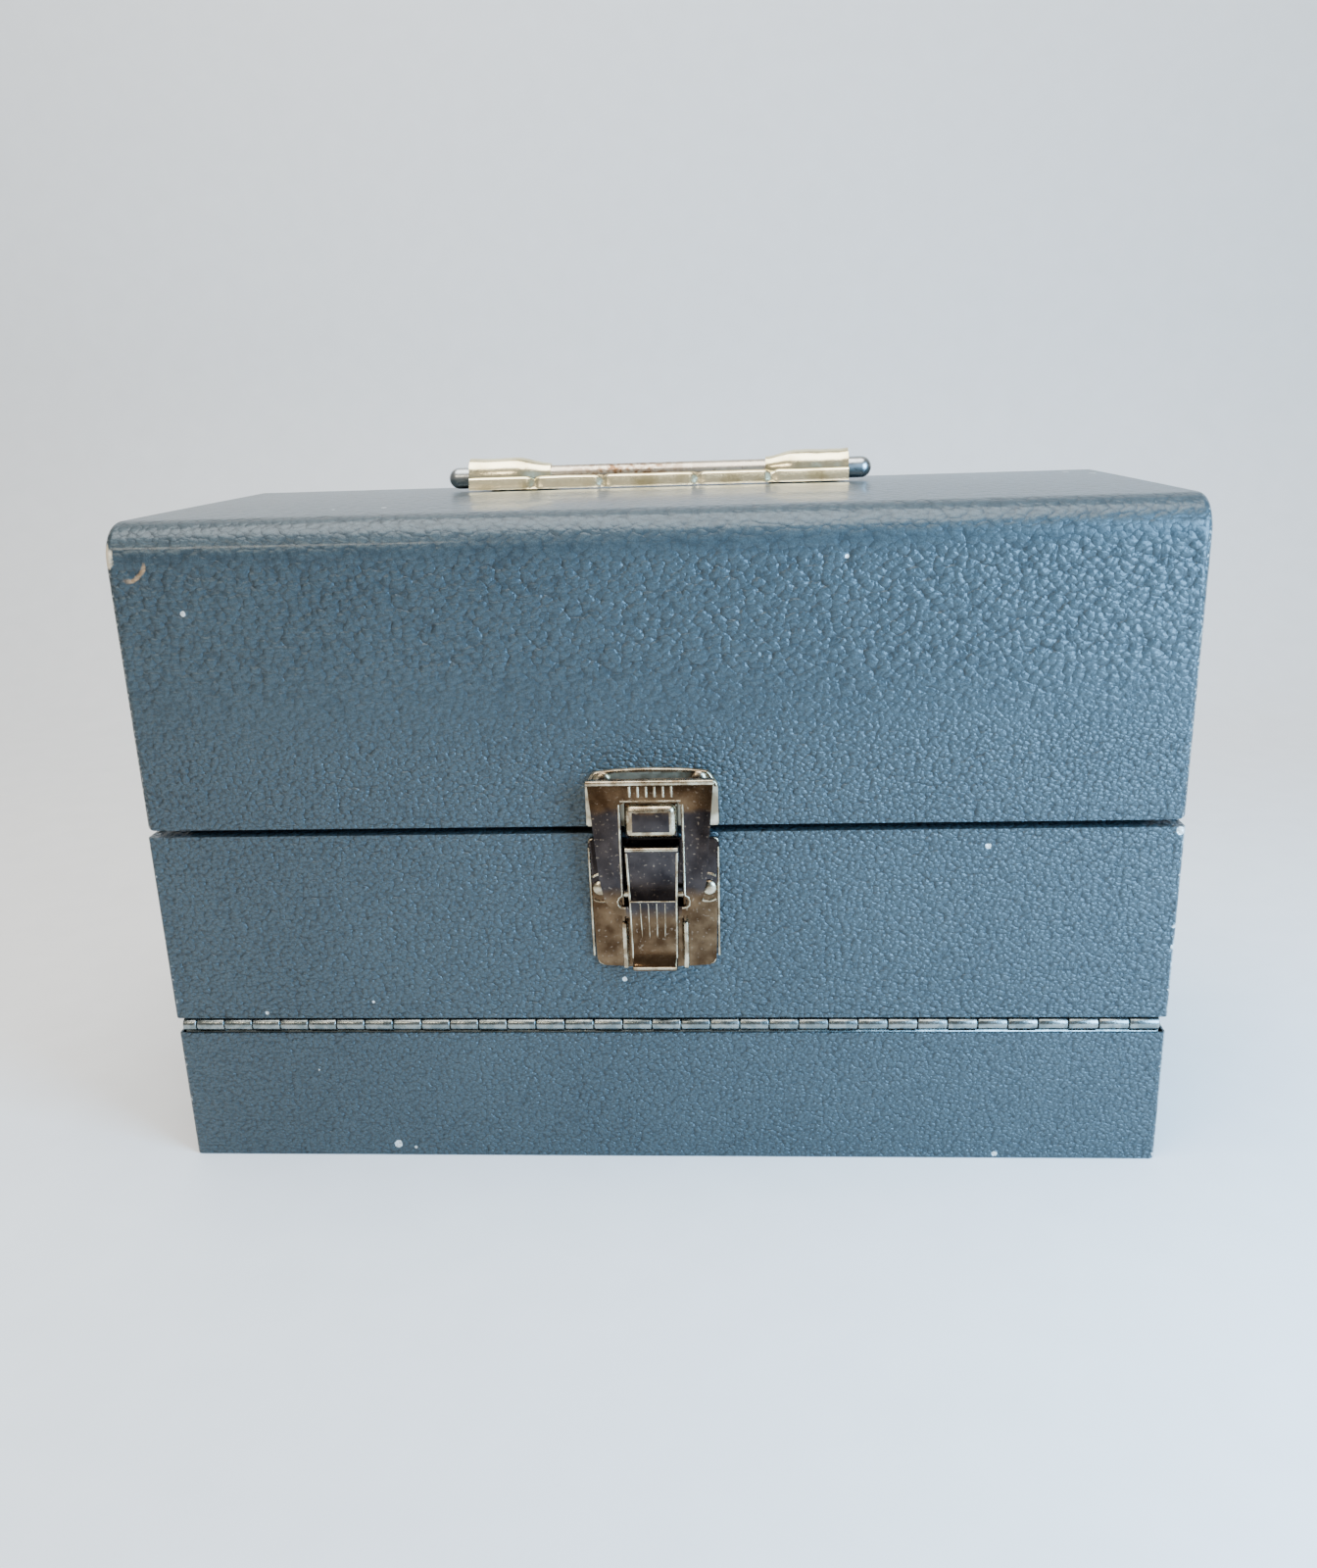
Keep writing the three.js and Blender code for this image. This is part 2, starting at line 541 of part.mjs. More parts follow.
piece('front_flap', frontFlap(), enamel);
piece('front_hinge_flap_leaf', hingeLeaf(FRONT_AXIS, FRONT_LEAF, 1, 0), hingeSteel);
piece('latch_base_plate', latchBase(), latchNickel);
piece('latch_lever_pin', rodX(LATCH_PIN_R, -8.3, 8.3, LEVER_AXIS, 10), latchNickel);
piece('latch_lever', latchLever(), latchNickel);
piece('latch_hasp_pin', rodX(LATCH_PIN_R, -11, 11, HASP_AXIS, 10), latchNickel);
piece('latch_hasp', latchHasp(), latchNickel);

piece('lid_shell', lidShell(), enamel);
piece('rear_hinge_lid_leaf', hingeLeaf(REAR_AXIS, REAR_LEAF, 1, 0), hingeSteel);
piece('latch_strike_plate', strikePlate(), latchNickel);
piece('latch_keeper', keeper(), latchNickel);
piece('handle_plate', handlePlateBody(), handlePlate);
piece('handle_rod', handleRod(), rodSteel);
piece('lower_tray', lowerTray(), trayEnamel);
piece('upper_tray', upperTray(), trayEnamel);

for (const [side, sign] of SIDES) {
  const middle = sign * BRACKET.middle;
  piece(`${side}_jamb`, jamb(sign), enamel);
  piece(`${side}_arm_plate`, armPlate(sign), zincSteel);
  piece(`${side}_lid_pivot`, lidPivot(sign), zincSteel);
  piece(`${side}_strike_rivet`, frontRivet(sign * STRIKE_RIVET.x, STRIKE_RIVET.z), latchNickel);
  piece(`${side}_latch_rivet`, frontRivet(sign * BASE_RIVET.x, BASE_RIVET.z), latchNickel);
  piece(`${side}_handle_bracket`, handleBracket(sign), handlePlate);
  piece(`${side}_handle_rivet`, bracketRivet(sign), handlePlate);
  piece(`${side}_handle_pin`,
    rodX(HANDLE_PIN_R, middle - BRACKET.half, middle + BRACKET.half, HANDLE_AXIS, 10), rodSteel);
  for (const [index, end] of ['front', 'rear'].entries()) {
    piece(`${side}_${end}_base_arm`, arm(sign, BASE_PIVOTS[index], BASE_REACH), zincSteel);
    piece(`${side}_${end}_tray_arm`, arm(sign, MID_PIVOTS[index], TRAY_REACH), zincSteel);
  }
}

const WALL_Y = 6; // where the upper tray's long wall stands
for (const [index, x] of [-78, 0, 78].entries()) {
  piece(`upper_tray_cross_wall_${index + 1}`,
    crossWall(UPPER_TRAY, x, WALL_Y + TRAY_SHEET / 2 + GAP, TRAY_REAR - TRAY_SHEET - GAP), trayEnamel);
}
piece('upper_tray_long_wall', longWall(UPPER_TRAY, WALL_Y), trayEnamel);
for (const [index, x] of [-52, 52].entries()) {
  piece(`lower_tray_cross_wall_${index + 1}`,
    crossWall(LOWER_TRAY, x, TRAY_FRONT + TRAY_SHEET + GAP, TRAY_REAR - TRAY_SHEET - GAP), trayEnamel);
}

export default sewingBox;
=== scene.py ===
import json
import math

import bmesh
import bpy
from mathutils import Matrix, Vector, noise


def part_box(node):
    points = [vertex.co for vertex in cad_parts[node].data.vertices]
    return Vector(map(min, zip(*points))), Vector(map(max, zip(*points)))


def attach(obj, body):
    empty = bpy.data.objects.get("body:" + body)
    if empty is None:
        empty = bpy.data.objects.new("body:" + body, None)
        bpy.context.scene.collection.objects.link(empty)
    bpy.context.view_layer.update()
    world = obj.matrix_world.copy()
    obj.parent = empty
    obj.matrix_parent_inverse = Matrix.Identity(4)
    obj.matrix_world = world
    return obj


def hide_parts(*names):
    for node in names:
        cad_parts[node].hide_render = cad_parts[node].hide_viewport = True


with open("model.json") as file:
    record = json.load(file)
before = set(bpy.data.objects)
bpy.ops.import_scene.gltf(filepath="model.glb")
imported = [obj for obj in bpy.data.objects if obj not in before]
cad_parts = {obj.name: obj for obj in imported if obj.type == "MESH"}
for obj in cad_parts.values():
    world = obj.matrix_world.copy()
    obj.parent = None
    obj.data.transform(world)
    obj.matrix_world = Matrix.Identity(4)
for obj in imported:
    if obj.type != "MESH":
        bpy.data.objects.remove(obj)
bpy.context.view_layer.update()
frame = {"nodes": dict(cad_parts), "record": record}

MM = 0.001
SIDES = (("left", -1), ("right", 1))


def millimetres(node):
    """Lowest and highest corner of a CAD node, in millimetres."""
    low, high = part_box(node)
    return low / MM, high / MM


def middle_of(node):
    low, high = millimetres(node)
    return (low + high) / 2


def span(sign, near, far):
    """(low, high) in x of something near to far from the middle, on the side of this sign."""
    return tuple(sorted((sign * near, sign * far)))


lid_low, lid_high = millimetres("lid_shell")
rod_low, rod_high = millimetres("handle_rod")
strike_low, strike_high = millimetres("latch_strike_plate")
plate_low, plate_high = millimetres("latch_base_plate")
lever_low, lever_high = millimetres("latch_lever")
keeper_low, keeper_high = millimetres("latch_keeper")

# The box, in millimetres. The lid's top rises by CROWN along its middle.
HALF_WIDTH = lid_high.x
FRONT = lid_low.y
REAR = lid_high.y
LID_BOTTOM = lid_low.z
CREST = lid_high.z
CROWN = 2.0
BEND = 11.7
SHEET = 1.0


# ---- Material nodes --------------------------------------------------------------------------
class Finish:
    """A Principled material with short ways to add nodes to it. Lengths in it are in metres."""

    def __init__(self, name, **sockets):
        self.material = bpy.data.materials.new(name)
        self.material.use_nodes = True
        self.tree = self.material.node_tree
        self.shader = self.tree.nodes["Principled BSDF"]
        for socket, value in sockets.items():
            self.shader.inputs[socket.replace("_", " ")].default_value = value
        self.place = self.tree.nodes.new("ShaderNodeTexCoord").outputs["Object"]
        split = self.add("ShaderNodeSeparateXYZ", {"Vector": self.place})
        self.x, self.y, self.z = split.outputs

    def feed(self, socket, value):
        """Links another node's output to a socket, or sets the socket to a plain value."""
        if isinstance(value, bpy.types.NodeSocket):
            self.tree.links.new(value, socket)
        else:
            socket.default_value = value

    def add(self, kind, inputs, **settings):
        node = self.tree.nodes.new(kind)
        for key, value in settings.items():
            setattr(node, key, value)
        for key, value in inputs.items():
            self.feed(node.inputs[key], value)
        return node

    def calc(self, operation, a, b=0.0):
        return self.add("ShaderNodeMath", {0: a, 1: b}, operation=operation).outputs[0]

    def product(self, *factors):
        result = factors[0]
        for factor in factors[1:]:
            result = self.calc("MULTIPLY", result, factor)
        return result

    def vector(self, operation, inputs):
        return self.add("ShaderNodeVectorMath", inputs, operation=operation)

    def noise(self, size, detail=2.0, place=None):
        inputs = {"Vector": place or self.place, "Scale": 1 / size, "Detail": detail}
        return self.add("ShaderNodeTexNoise", inputs)

    def cells(self, size, place=None, feature="F1"):
        inputs = {"Vector": place or self.place, "Scale": 1 / size}
        return self.add("ShaderNodeTexVoronoi", inputs, feature=feature).outputs["Distance"]

    def ramp(self, value, low, high):
        inputs = {"Value": value, "From Min": low, "From Max": high}
        return self.add("ShaderNodeMapRange", inputs).outputs["Result"]

    def spread(self, value, low, high):
        """A value between 0 and 1 spread over low to high."""
        inputs = {"Value": value, "To Min": low, "To Max": high}
        return self.add("ShaderNodeMapRange", inputs).outputs["Result"]

    def mix(self, factor, a, b):
        """Colour a where the factor is 0 and b where it is 1."""
        node = self.add("ShaderNodeMix", {}, data_type="RGBA")
        factor_socket, a_socket, b_socket = node.inputs[0], node.inputs[6], node.inputs[7]
        self.feed(factor_socket, factor)
        self.feed(a_socket, a)
        self.feed(b_socket, b)
        return node.outputs[2]

    def warped(self, size, amount, squash=1.0):
        """The surface coordinates pushed about by a noise of this size, and squashed upright."""
        drift = self.noise(size).outputs["Color"]
        centred = self.vector("SUBTRACT", {0: drift, 1: (0.5, 0.5, 0.5)}).outputs[0]
        scaled = self.vector("SCALE", {0: centred, "Scale": amount}).outputs[0]
        moved = self.vector("ADD", {0: self.place, 1: scaled}).outputs[0]
        return self.vector("MULTIPLY", {0: moved, 1: (1, 1, squash)}).outputs[0]

    def distance(self, place, centre):
        """How far each place is from a point that is given in millimetres."""
        point = tuple(c * MM for c in centre)
        return self.vector("DISTANCE", {0: place, 1: point}).outputs["Value"]

    def near(self, centre, radius, ragged=0.35):
        """1 inside a ragged spot round a point, both in millimetres, and 0 outside it."""
        place = self.warped(radius * 0.7 * MM, radius * 2 * ragged * MM)
        return self.ramp(self.distance(place, centre), radius * MM, radius * 0.8 * MM)

    def highest(self, masks):
        result = masks[0]
        for mask in masks[1:]:
            result = self.calc("MAXIMUM", result, mask)
        return result

    def bump(self, height, strength, depth):
        inputs = {"Height": height, "Strength": strength, "Distance": depth}
        return self.add("ShaderNodeBump", inputs).outputs["Normal"]

    def finish(self, colour, roughness=None, normal=None):
        sockets = {"Base Color": colour, "Roughness": roughness, "Normal": normal}
        for key, value in sockets.items():
            if value is not None:
                self.tree.links.new(value, self.shader.inputs[key])
        return self.material


# ---- Materials -------------------------------------------------------------------------------
BLUE = (0.034, 0.046, 0.051, 1)
BLUE_LIGHT = (0.072, 0.098, 0.106, 1)
# painted shade for the creases between the paint's cells
BLUE_CREASE_SHADE = (0.013, 0.020, 0.025, 1)
# the pale primer of chips and specks, also used for the painted highlight on the right rim
PRIMER_AND_HIGHLIGHT = (0.66, 0.66, 0.62, 1)
BARE_BRASS = (0.30, 0.19, 0.105, 1)
WORN_CORNER = (0.72, 0.60, 0.42, 1)
CELL_SQUASH = 1.45  # the paint's cells are wider than tall
CELL_DEPTH = 0.44  # of a cell's size
WIDE_CELLS_FROM, WIDE_CELLS_TO = 142, 172  # heights in mm over which the lid's cells widen
EDGE_WEAR_WIDTH = 1.6


def box_edge(enamel):
    """1 on the skin of the front and the lid's top and bend, and 0 further in on the end walls."""
    ahead = enamel.calc("SUBTRACT", (FRONT + BEND) * MM, enamel.y)
    above = enamel.calc("SUBTRACT", enamel.z, (CREST - CROWN - BEND) * MM)
    squares = [enamel.calc("POWER", enamel.calc("MAXIMUM", side, 0.0), 2.0) for side in (ahead, above)]
    reach = enamel.calc("POWER", enamel.calc("ADD", *squares), 0.5)
    return enamel.ramp(reach, (BEND - 1.5) * MM, (BEND - 0.7) * MM)


def cell_pattern(enamel, cell, wide_cell):
    """Distance from the nearest cell's middle. Wide cells take over higher up, if there are any."""
    hollow = enamel.cells(cell, enamel.warped(cell * 1.1, cell * 0.8, CELL_SQUASH))
    if not wide_cell:
        return hollow
    wide = enamel.cells(wide_cell, enamel.warped(wide_cell * 1.1, wide_cell * 0.8, CELL_SQUASH))
    upper = enamel.ramp(enamel.z, WIDE_CELLS_FROM * MM, WIDE_CELLS_TO * MM)
    fine_part = enamel.product(hollow, enamel.calc("SUBTRACT", 1.0, upper))
    return enamel.calc("ADD", fine_part, enamel.product(wide, upper))


def rim_specks_and_highlight_masks(enamel, amount):
    """Bare specks along both ends' front edges, and a painted highlight as a broken pale line down the
    right one.
    """
    edge = box_edge(enamel)
    across = enamel.calc("ABSOLUTE", enamel.x)
    rim = enamel.ramp(across, (HALF_WIDTH - EDGE_WEAR_WIDTH) * MM, (HALF_WIDTH - 0.4) * MM)
    specks = enamel.ramp(enamel.noise(0.0011, 4).outputs["Fac"], 0.66 - amount, 0.70 - amount)
    # painted highlight: a broken pale line down the right end's rim, where light catches the edge
    right_rim_highlight = enamel.ramp(enamel.x, (HALF_WIDTH - 0.9) * MM, (HALF_WIDTH - 0.3) * MM)
    highlight_breakup = enamel.ramp(enamel.noise(0.006, 3).outputs["Fac"], 0.40, 0.60)
    return [enamel.product(rim, edge, specks), enamel.product(right_rim_highlight, edge, highlight_breakup, 0.55)]


def hammered_enamel(name, cell, wide_cell=None, chips=(), wear_and_highlight=0.0):
    """Hammertone paint: rounded cells with painted shade in their creases, smoother on the lid's upper
    bend.
    """
    enamel = Finish(
        name, Coat_Weight=0.15, Coat_Roughness=0.10, Specular_IOR_Level=0.30, Metallic=0.30)
    hollow = cell_pattern(enamel, cell, wide_cell)
    flake = enamel.noise(cell * 0.22, 3).outputs["Fac"]
    cloud = enamel.noise(0.045, 2).outputs["Fac"]
    # painted shade: darker colour in the creases between the cells
    crease = enamel.product(enamel.ramp(hollow, 0.30, 0.80), 0.50)
    colour = enamel.mix(enamel.ramp(flake, 0.30, 0.80), BLUE, BLUE_LIGHT)
    colour = enamel.mix(crease, colour, BLUE_CREASE_SHADE)
    colour = enamel.mix(enamel.product(enamel.ramp(cloud, 0.3, 0.9), 0.25), colour, BLUE_LIGHT)
    bend = enamel.ramp(enamel.z, (CREST - 17) * MM, (CREST - 12) * MM)
    relief = enamel.calc("SUBTRACT", 1.0, enamel.product(bend, 0.70))
    dip = enamel.product(relief, enamel.calc("POWER", hollow, 2.0))
    normal = enamel.bump(enamel.calc("SUBTRACT", 1.0, dip), 1.0, cell * CELL_DEPTH)
    masks = [enamel.near(centre, radius) for centre, radius in chips]
    # chips and edge specks show primer; the right rim's pale line is a painted highlight
    if wear_and_highlight:
        masks += rim_specks_and_highlight_masks(enamel, wear_and_highlight)
    if masks:
        colour = enamel.mix(enamel.highest(masks), colour, PRIMER_AND_HIGHLIGHT)
    return enamel, colour, enamel.spread(flake, 0.24, 0.44), normal


SCRAPE_CENTRE = (-158.3, FRONT, 205.6)
SCRAPE_RADIUS = 5.9


def lid_enamel():
    """The lid also has a curved scrape down to the brass-coloured metal at its top left corner."""
    chips = (
        ((-142.5, FRONT, 189.5), 0.9),
        ((60.0, FRONT, 202.0), 0.7),
        ((-162.5, FRONT + 3, 208.5), 1.4),
        ((-100.0, FRONT + 26, CREST - 1), 0.8),
        ((-84.0, FRONT + 27, CREST - 1), 1.0),
        ((118.0, REAR - 16, CREST - 1), 1.3),
        ((134.0, REAR - 10, CREST - 1.5), 1.6),
        ((150.0, REAR - 28, CREST - 2), 1.4),
        ((157.0, REAR - 40, CREST - 2), 1.5),
    )
    enamel, colour, roughness, normal = hammered_enamel("lid_enamel", 0.0017, 0.0025, chips, 0.10)
    reach = enamel.distance(enamel.warped(0.004, 0.0016), SCRAPE_CENTRE)
    off_ring = enamel.calc("ABSOLUTE", enamel.calc("SUBTRACT", reach, SCRAPE_RADIUS * MM))
    ring = enamel.ramp(off_ring, 0.00075, 0.00030)
    lower = enamel.ramp(enamel.z, 0.2055, 0.2040)
    right = enamel.ramp(enamel.x, -0.1600, -0.1570)
    colour = enamel.mix(enamel.product(ring, lower, right), colour, BARE_BRASS)
    corner = enamel.near((-164.6, FRONT + 1.5, 207.0), 3.6, 0.5)
    colour = enamel.mix(corner, colour, WORN_CORNER)
    top = enamel.ramp(enamel.z, (CREST - 4) * MM, (CREST - 2) * MM)
    specks = enamel.ramp(enamel.noise(0.0009, 5).outputs["Fac"], 0.70, 0.74)
    rear = enamel.ramp(enamel.y, -0.01, 0.06)
    colour = enamel.mix(enamel.product(specks, top, rear), colour, PRIMER_AND_HIGHLIGHT)
    return enamel.finish(colour, roughness, normal)


def flap_enamel():
    chips = (
        ((163.5, FRONT, 116.0), 1.5),
        ((164.0, FRONT + 1, 84.0), 1.2),
        ((164.5, FRONT + 1, 77.0), 1.4),
        ((164.5, FRONT + 1, 71.0), 1.0),
        ((-11.0, FRONT, 66.5), 0.9),
        ((-133.0, FRONT, 54.5), 0.7),
        ((-96.0, FRONT, 58.5), 0.5),
        ((105.0, FRONT, 111.5), 1.0),
    )
    enamel, colour, roughness, normal = hammered_enamel("flap_enamel", 0.0017, None, chips, 0.03)
    return enamel.finish(colour, roughness, normal)


def case_enamel():
    chips = (
        ((-92.5, FRONT, 4.2), 1.5),
        ((-86.5, FRONT, 3.0), 0.6),
        ((112.0, FRONT, 1.6), 1.0),
        ((165.0, FRONT, 1.5), 1.2),
        ((-117.5, FRONT, 33.0), 0.35),
    )
    enamel, colour, roughness, normal = hammered_enamel("case_enamel", 0.0015, None, chips, 0.03)
    return enamel.finish(colour, roughness, normal)


def tray_enamel():
    enamel, colour, roughness, normal = hammered_enamel("tray_enamel", 0.0019)
    return enamel.finish(colour, roughness, normal)


def worn_metal(name, bright, stain, roughness, patch, stained):
    """Plated metal with broad stained patches, fine pits and light scratches."""
    metal = Finish(name, Metallic=1.0)
    broad = metal.noise(patch, 4).outputs["Fac"]
    pits = metal.noise(0.0006, 3).outputs["Fac"]
    stretched = metal.add("ShaderNodeMapping", {"Vector": metal.place, "Scale": (1.0, 1.0, 0.06)})
    scratch = metal.noise(0.0005, 2, stretched.outputs[0]).outputs["Fac"]
    amount = metal.ramp(broad, 0.62 - stained, 0.82 - stained)
    colour = metal.mix(amount, bright, stain)
    rough = metal.spread(pits, roughness * 0.7, roughness * 1.5)
    grain = metal.calc("ADD", pits, metal.calc("MULTIPLY", scratch, 0.6))
    normal = metal.bump(grain, 0.16, 0.0001)
    return metal.finish(colour, rough, normal)


def latch_face_painted_reflections():
    """Nickel with painted reflections: brown towards the latch's ends and dark violet-grey across its
    middle.
    """
    metal = Finish("latch_nickel", Metallic=1.0)
    broad = metal.noise(0.006, 5).outputs["Fac"]
    fine = metal.noise(0.0007, 4).outputs["Fac"]
    pits = metal.ramp(metal.noise(0.0010, 5).outputs["Fac"], 0.62, 0.70)
    # painted reflection: the brown bands above and below the latch's dark middle
    drift = metal.product(metal.calc("SUBTRACT", broad, 0.5), 0.006)
    height = metal.calc("ADD", metal.z, drift)
    upper = metal.ramp(height, 0.1255, 0.1275)
    beside = metal.ramp(metal.calc("ABSOLUTE", metal.x), 0.0088, 0.0096)
    lower = metal.ramp(metal.calc("SUBTRACT", height, metal.product(beside, 0.0065)), 0.0950, 0.0915)
    blotch = metal.ramp(broad, 0.35, 0.70)
    brown = metal.mix(blotch, (0.050, 0.027, 0.013, 1), (0.150, 0.095, 0.052, 1))
    blotch = metal.ramp(broad, 0.30, 0.72)
    # painted reflection: the dark violet-grey middle stands in for a dark room reflected in the nickel
    colour = metal.mix(blotch, (0.020, 0.017, 0.018, 1), (0.060, 0.050, 0.048, 1))
    colour = metal.mix(metal.calc("MAXIMUM", upper, lower), colour, brown)
    colour = metal.mix(metal.product(pits, 0.6), colour, (0.30, 0.24, 0.18, 1))
    return metal.finish(colour, metal.spread(fine, 0.08, 0.30), metal.bump(fine, 0.10, 0.0001))


def knuckle_steel():
    """Dull steel with remnants of the box's paint."""
    steel = Finish("knuckle_steel", Metallic=1.0)
    wear = steel.noise(0.0035, 4).outputs["Fac"]
    fine = steel.noise(0.0007, 3).outputs["Fac"]
    worn = steel.ramp(wear, 0.47, 0.56)
    colour = steel.mix(worn, (0.26, 0.28, 0.265, 1), (0.165, 0.19, 0.185, 1))
    normal = steel.bump(steel.calc("ADD", wear, fine), 0.2, 0.0002)
    return steel.finish(colour, steel.spread(fine, 0.18, 0.36), normal)


def rusty_rod():
    """Bright steel, brown with rust in the middle where hands have worn the plating."""
    rod = Finish("rod_steel", Metallic=1.0)
    speckle = rod.noise(0.0022, 4).outputs["Fac"]
    middle = rod.calc("ABSOLUTE", rod.calc("ADD", rod.x, 0.010))
    rust = rod.product(rod.ramp(middle, 0.030, 0.006), rod.ramp(speckle, 0.40, 0.60))
    tarnish = rod.ramp(rod.calc("ABSOLUTE", rod.x), 0.066, 0.050)
    colour = rod.mix(tarnish, (0.36, 0.38, 0.38, 1), (0.52, 0.46, 0.37, 1))
    colour = rod.mix(rust, colour, (0.20, 0.11, 0.055, 1))
    return rod.finish(colour, rod.spread(speckle, 0.18, 0.42), rod.bump(speckle, 0.2, 0.0002))


LID_PAINT = lid_enamel()
FLAP_PAINT = flap_enamel()
CASE_PAINT = case_enamel()
TRAY_PAINT = tray_enamel()
BRIGHT_NICKEL = ((0.60, 0.52, 0.37, 1), (0.26, 0.19, 0.115, 1))
DULL_NICKEL = ((0.66, 0.58, 0.42, 1), (0.30, 0.23, 0.145, 1))
BRASSY_STEEL = ((0.92, 0.83, 0.54, 1), (0.60, 0.51, 0.27, 1))
GREY_ZINC = ((0.52, 0.54, 0.56, 1), (0.33, 0.34, 0.35, 1))

LATCH_EDGE = worn_metal("latch_edge", *BRIGHT_NICKEL, 0.24, 0.004, 0.22)
# latch faces in painted reflections, their edges in brighter nickel
LATCH_PLATING = (latch_face_painted_reflections(), LATCH_EDGE)
STRIKE_NICKEL = worn_metal("strike_nickel", *DULL_NICKEL, 0.40, 0.005, 0.22)
HANDLE_PLATING = worn_metal("handle_sheet", *BRASSY_STEEL, 0.20, 0.010, 0.14)
KNUCKLE_STEEL = knuckle_steel()
ROD_STEEL = rusty_rod()
ZINC = worn_metal("zinc_steel", *GREY_ZINC, 0.34, 0.012, 0.02)


# ---- Mesh helpers ----------------------------------------------------------------------------
def place_mesh(name, mesh, material, body, nodes, crease=35):
    """A mesh in millimetres becomes a piece that rides on a body and stands for CAD nodes."""
    data = bpy.data.meshes.new(name)
    bmesh.ops.scale(mesh, vec=(MM, MM, MM), verts=mesh.verts)
    bmesh.ops.recalc_face_normals(mesh, faces=mesh.faces)
    mesh.to_mesh(data)
    mesh.free()
    for finish in material if isinstance(material, tuple) else (material,):
        data.materials.append(finish)
    data.shade_smooth()
    data.set_sharp_from_angle(angle=math.radians(crease))
    piece = bpy.data.objects.new(name, data)
    bpy.context.scene.collection.objects.link(piece)
    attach(piece, body)
    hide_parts(*nodes)
    return piece


def weighted(piece):
    """Large flat faces keep flat shading up to their rounded edges."""
    normals = piece.modifiers.new("normals", "WEIGHTED_NORMAL")
    normals.keep_sharp = True
    return piece


def thicken(piece, thickness):
    wall = piece.modifiers.new("wall", "SOLIDIFY")
    wall.thickness = thickness * MM
    wall.offset = -1
    wall.use_even_offset = True
    return piece


# Which of a piece's materials a face takes: its first, its second, or the one beside it.
FACE, EDGE, SAME = 0, 1, -1


def round_over(mesh, edges, bevel, steps, finish=SAME, **settings):
    bmesh.ops.bevel(mesh, geom=edges, offset=bevel, segments=steps, affect="EDGES", profile=0.5,
                    material=finish, **settings)


def loft(mesh, rings, closed=True, capped=True, finish=FACE):
    """Skins rings of equal length."""
    made = []
    rows = [[mesh.verts.new(point) for point in ring] for ring in rings]
    count = len(rows[0])
    for near, far in zip(rows, rows[1:]):
        for i in range(count if closed else count - 1):
            j = (i + 1) % count
            made.append(mesh.faces.new((near[i], near[j], far[j], far[i])))
    if capped:
        made.append(mesh.faces.new(rows[0]))
        made.append(mesh.faces.new(rows[-1]))
    for face in made:
        face.material_index = finish
    return rows


def lathe(mesh, profile, centre, axis, sides=28):
    """Turns (radius, along) points round an axis, 'X', 'Y' or 'Z', through the centre."""
    frames = {
        "X": (Vector((0, 1, 0)), Vector((0, 0, 1)), Vector((1, 0, 0))),
        "Y": (Vector((1, 0, 0)), Vector((0, 0, 1)), Vector((0, 1, 0))),
        "Z": (Vector((1, 0, 0)), Vector((0, 1, 0)), Vector((0, 0, 1))),
    }
    across, up, along = frames[axis]
    rings = []
    for radius, distance in profile:
        ring = []
        for i in range(sides):
            angle = 2 * math.pi * i / sides
            spoke = across * math.cos(angle) + up * math.sin(angle)
            ring.append(Vector(centre) + spoke * radius + along * distance)
        rings.append(ring)
    return loft(mesh, rings)


def bevelled_prism(mesh, outline, y_front, y_back, bevel, steps=3):
    """An (x, z) outline made into a plate. Its front edge is rounded and bright, its back square."""
    bottom = [mesh.verts.new((x, y_back, z)) for x, z in outline]
    top = [mesh.verts.new((x, y_front, z)) for x, z in outline]
    count = len(outline)
    front = mesh.faces.new(top)
    mesh.faces.new(bottom)
    for i in range(count):
        j = (i + 1) % count
        mesh.faces.new((bottom[i], bottom[j], top[j], top[i]))
    round_over(mesh, list(front.edges), bevel, steps, EDGE)


def block(mesh, x, y, z, bevel, steps=3, finish=FACE, edge_finish=SAME):
    """A box with rounded edges. x, y and z are (low, high)."""
    made = bmesh.ops.create_cube(mesh, size=1)
    size = Vector((x[1] - x[0], y[1] - y[0], z[1] - z[0]))
    middle = Vector((x[0] + x[1], y[0] + y[1], z[0] + z[1])) / 2
    for vert in made["verts"]:
        vert.co = Vector(a * b for a, b in zip(vert.co, size)) + middle
    edges = list({edge for vert in made["verts"] for edge in vert.link_edges})
    for face in {face for vert in made["verts"] for face in vert.link_faces}:
        face.material_index = finish
    round_over(mesh, edges, bevel, steps, edge_finish)


def rounded(corners, steps=6):
    """An outline from (x, z, radius) corners, with each corner turned into an arc."""
    outline = []
    count = len(corners)
    for i, (x, z, radius) in enumerate(corners):
        here = Vector((x, z))
        before = (Vector(corners[i - 1][:2]) - here).normalized()
        after = (Vector(corners[(i + 1) % count][:2]) - here).normalized()
        half = before.angle(after) / 2
        reach = radius / math.tan(half)
        start = here + before * reach
        end = here + after * reach
        for k in range(steps + 1):
            t = k / steps
            outline.append(tuple(start * (1 - t) ** 2 + here * 2 * t * (1 - t) + end * t ** 2))
    return outline


def at_corner(edge, faces):
    """True for a long edge where an end wall meets one of these faces, given by their y."""
    ends = [vert.co for vert in edge.verts]
    at_end = all(abs(abs(point.x) - HALF_WIDTH) < 0.05 for point in ends)
    at_face = all(min(abs(point.y - y) for y in faces) < 0.05 for point in ends)
    return at_end and at_face and abs(ends[0].z - ends[1].z) > 20


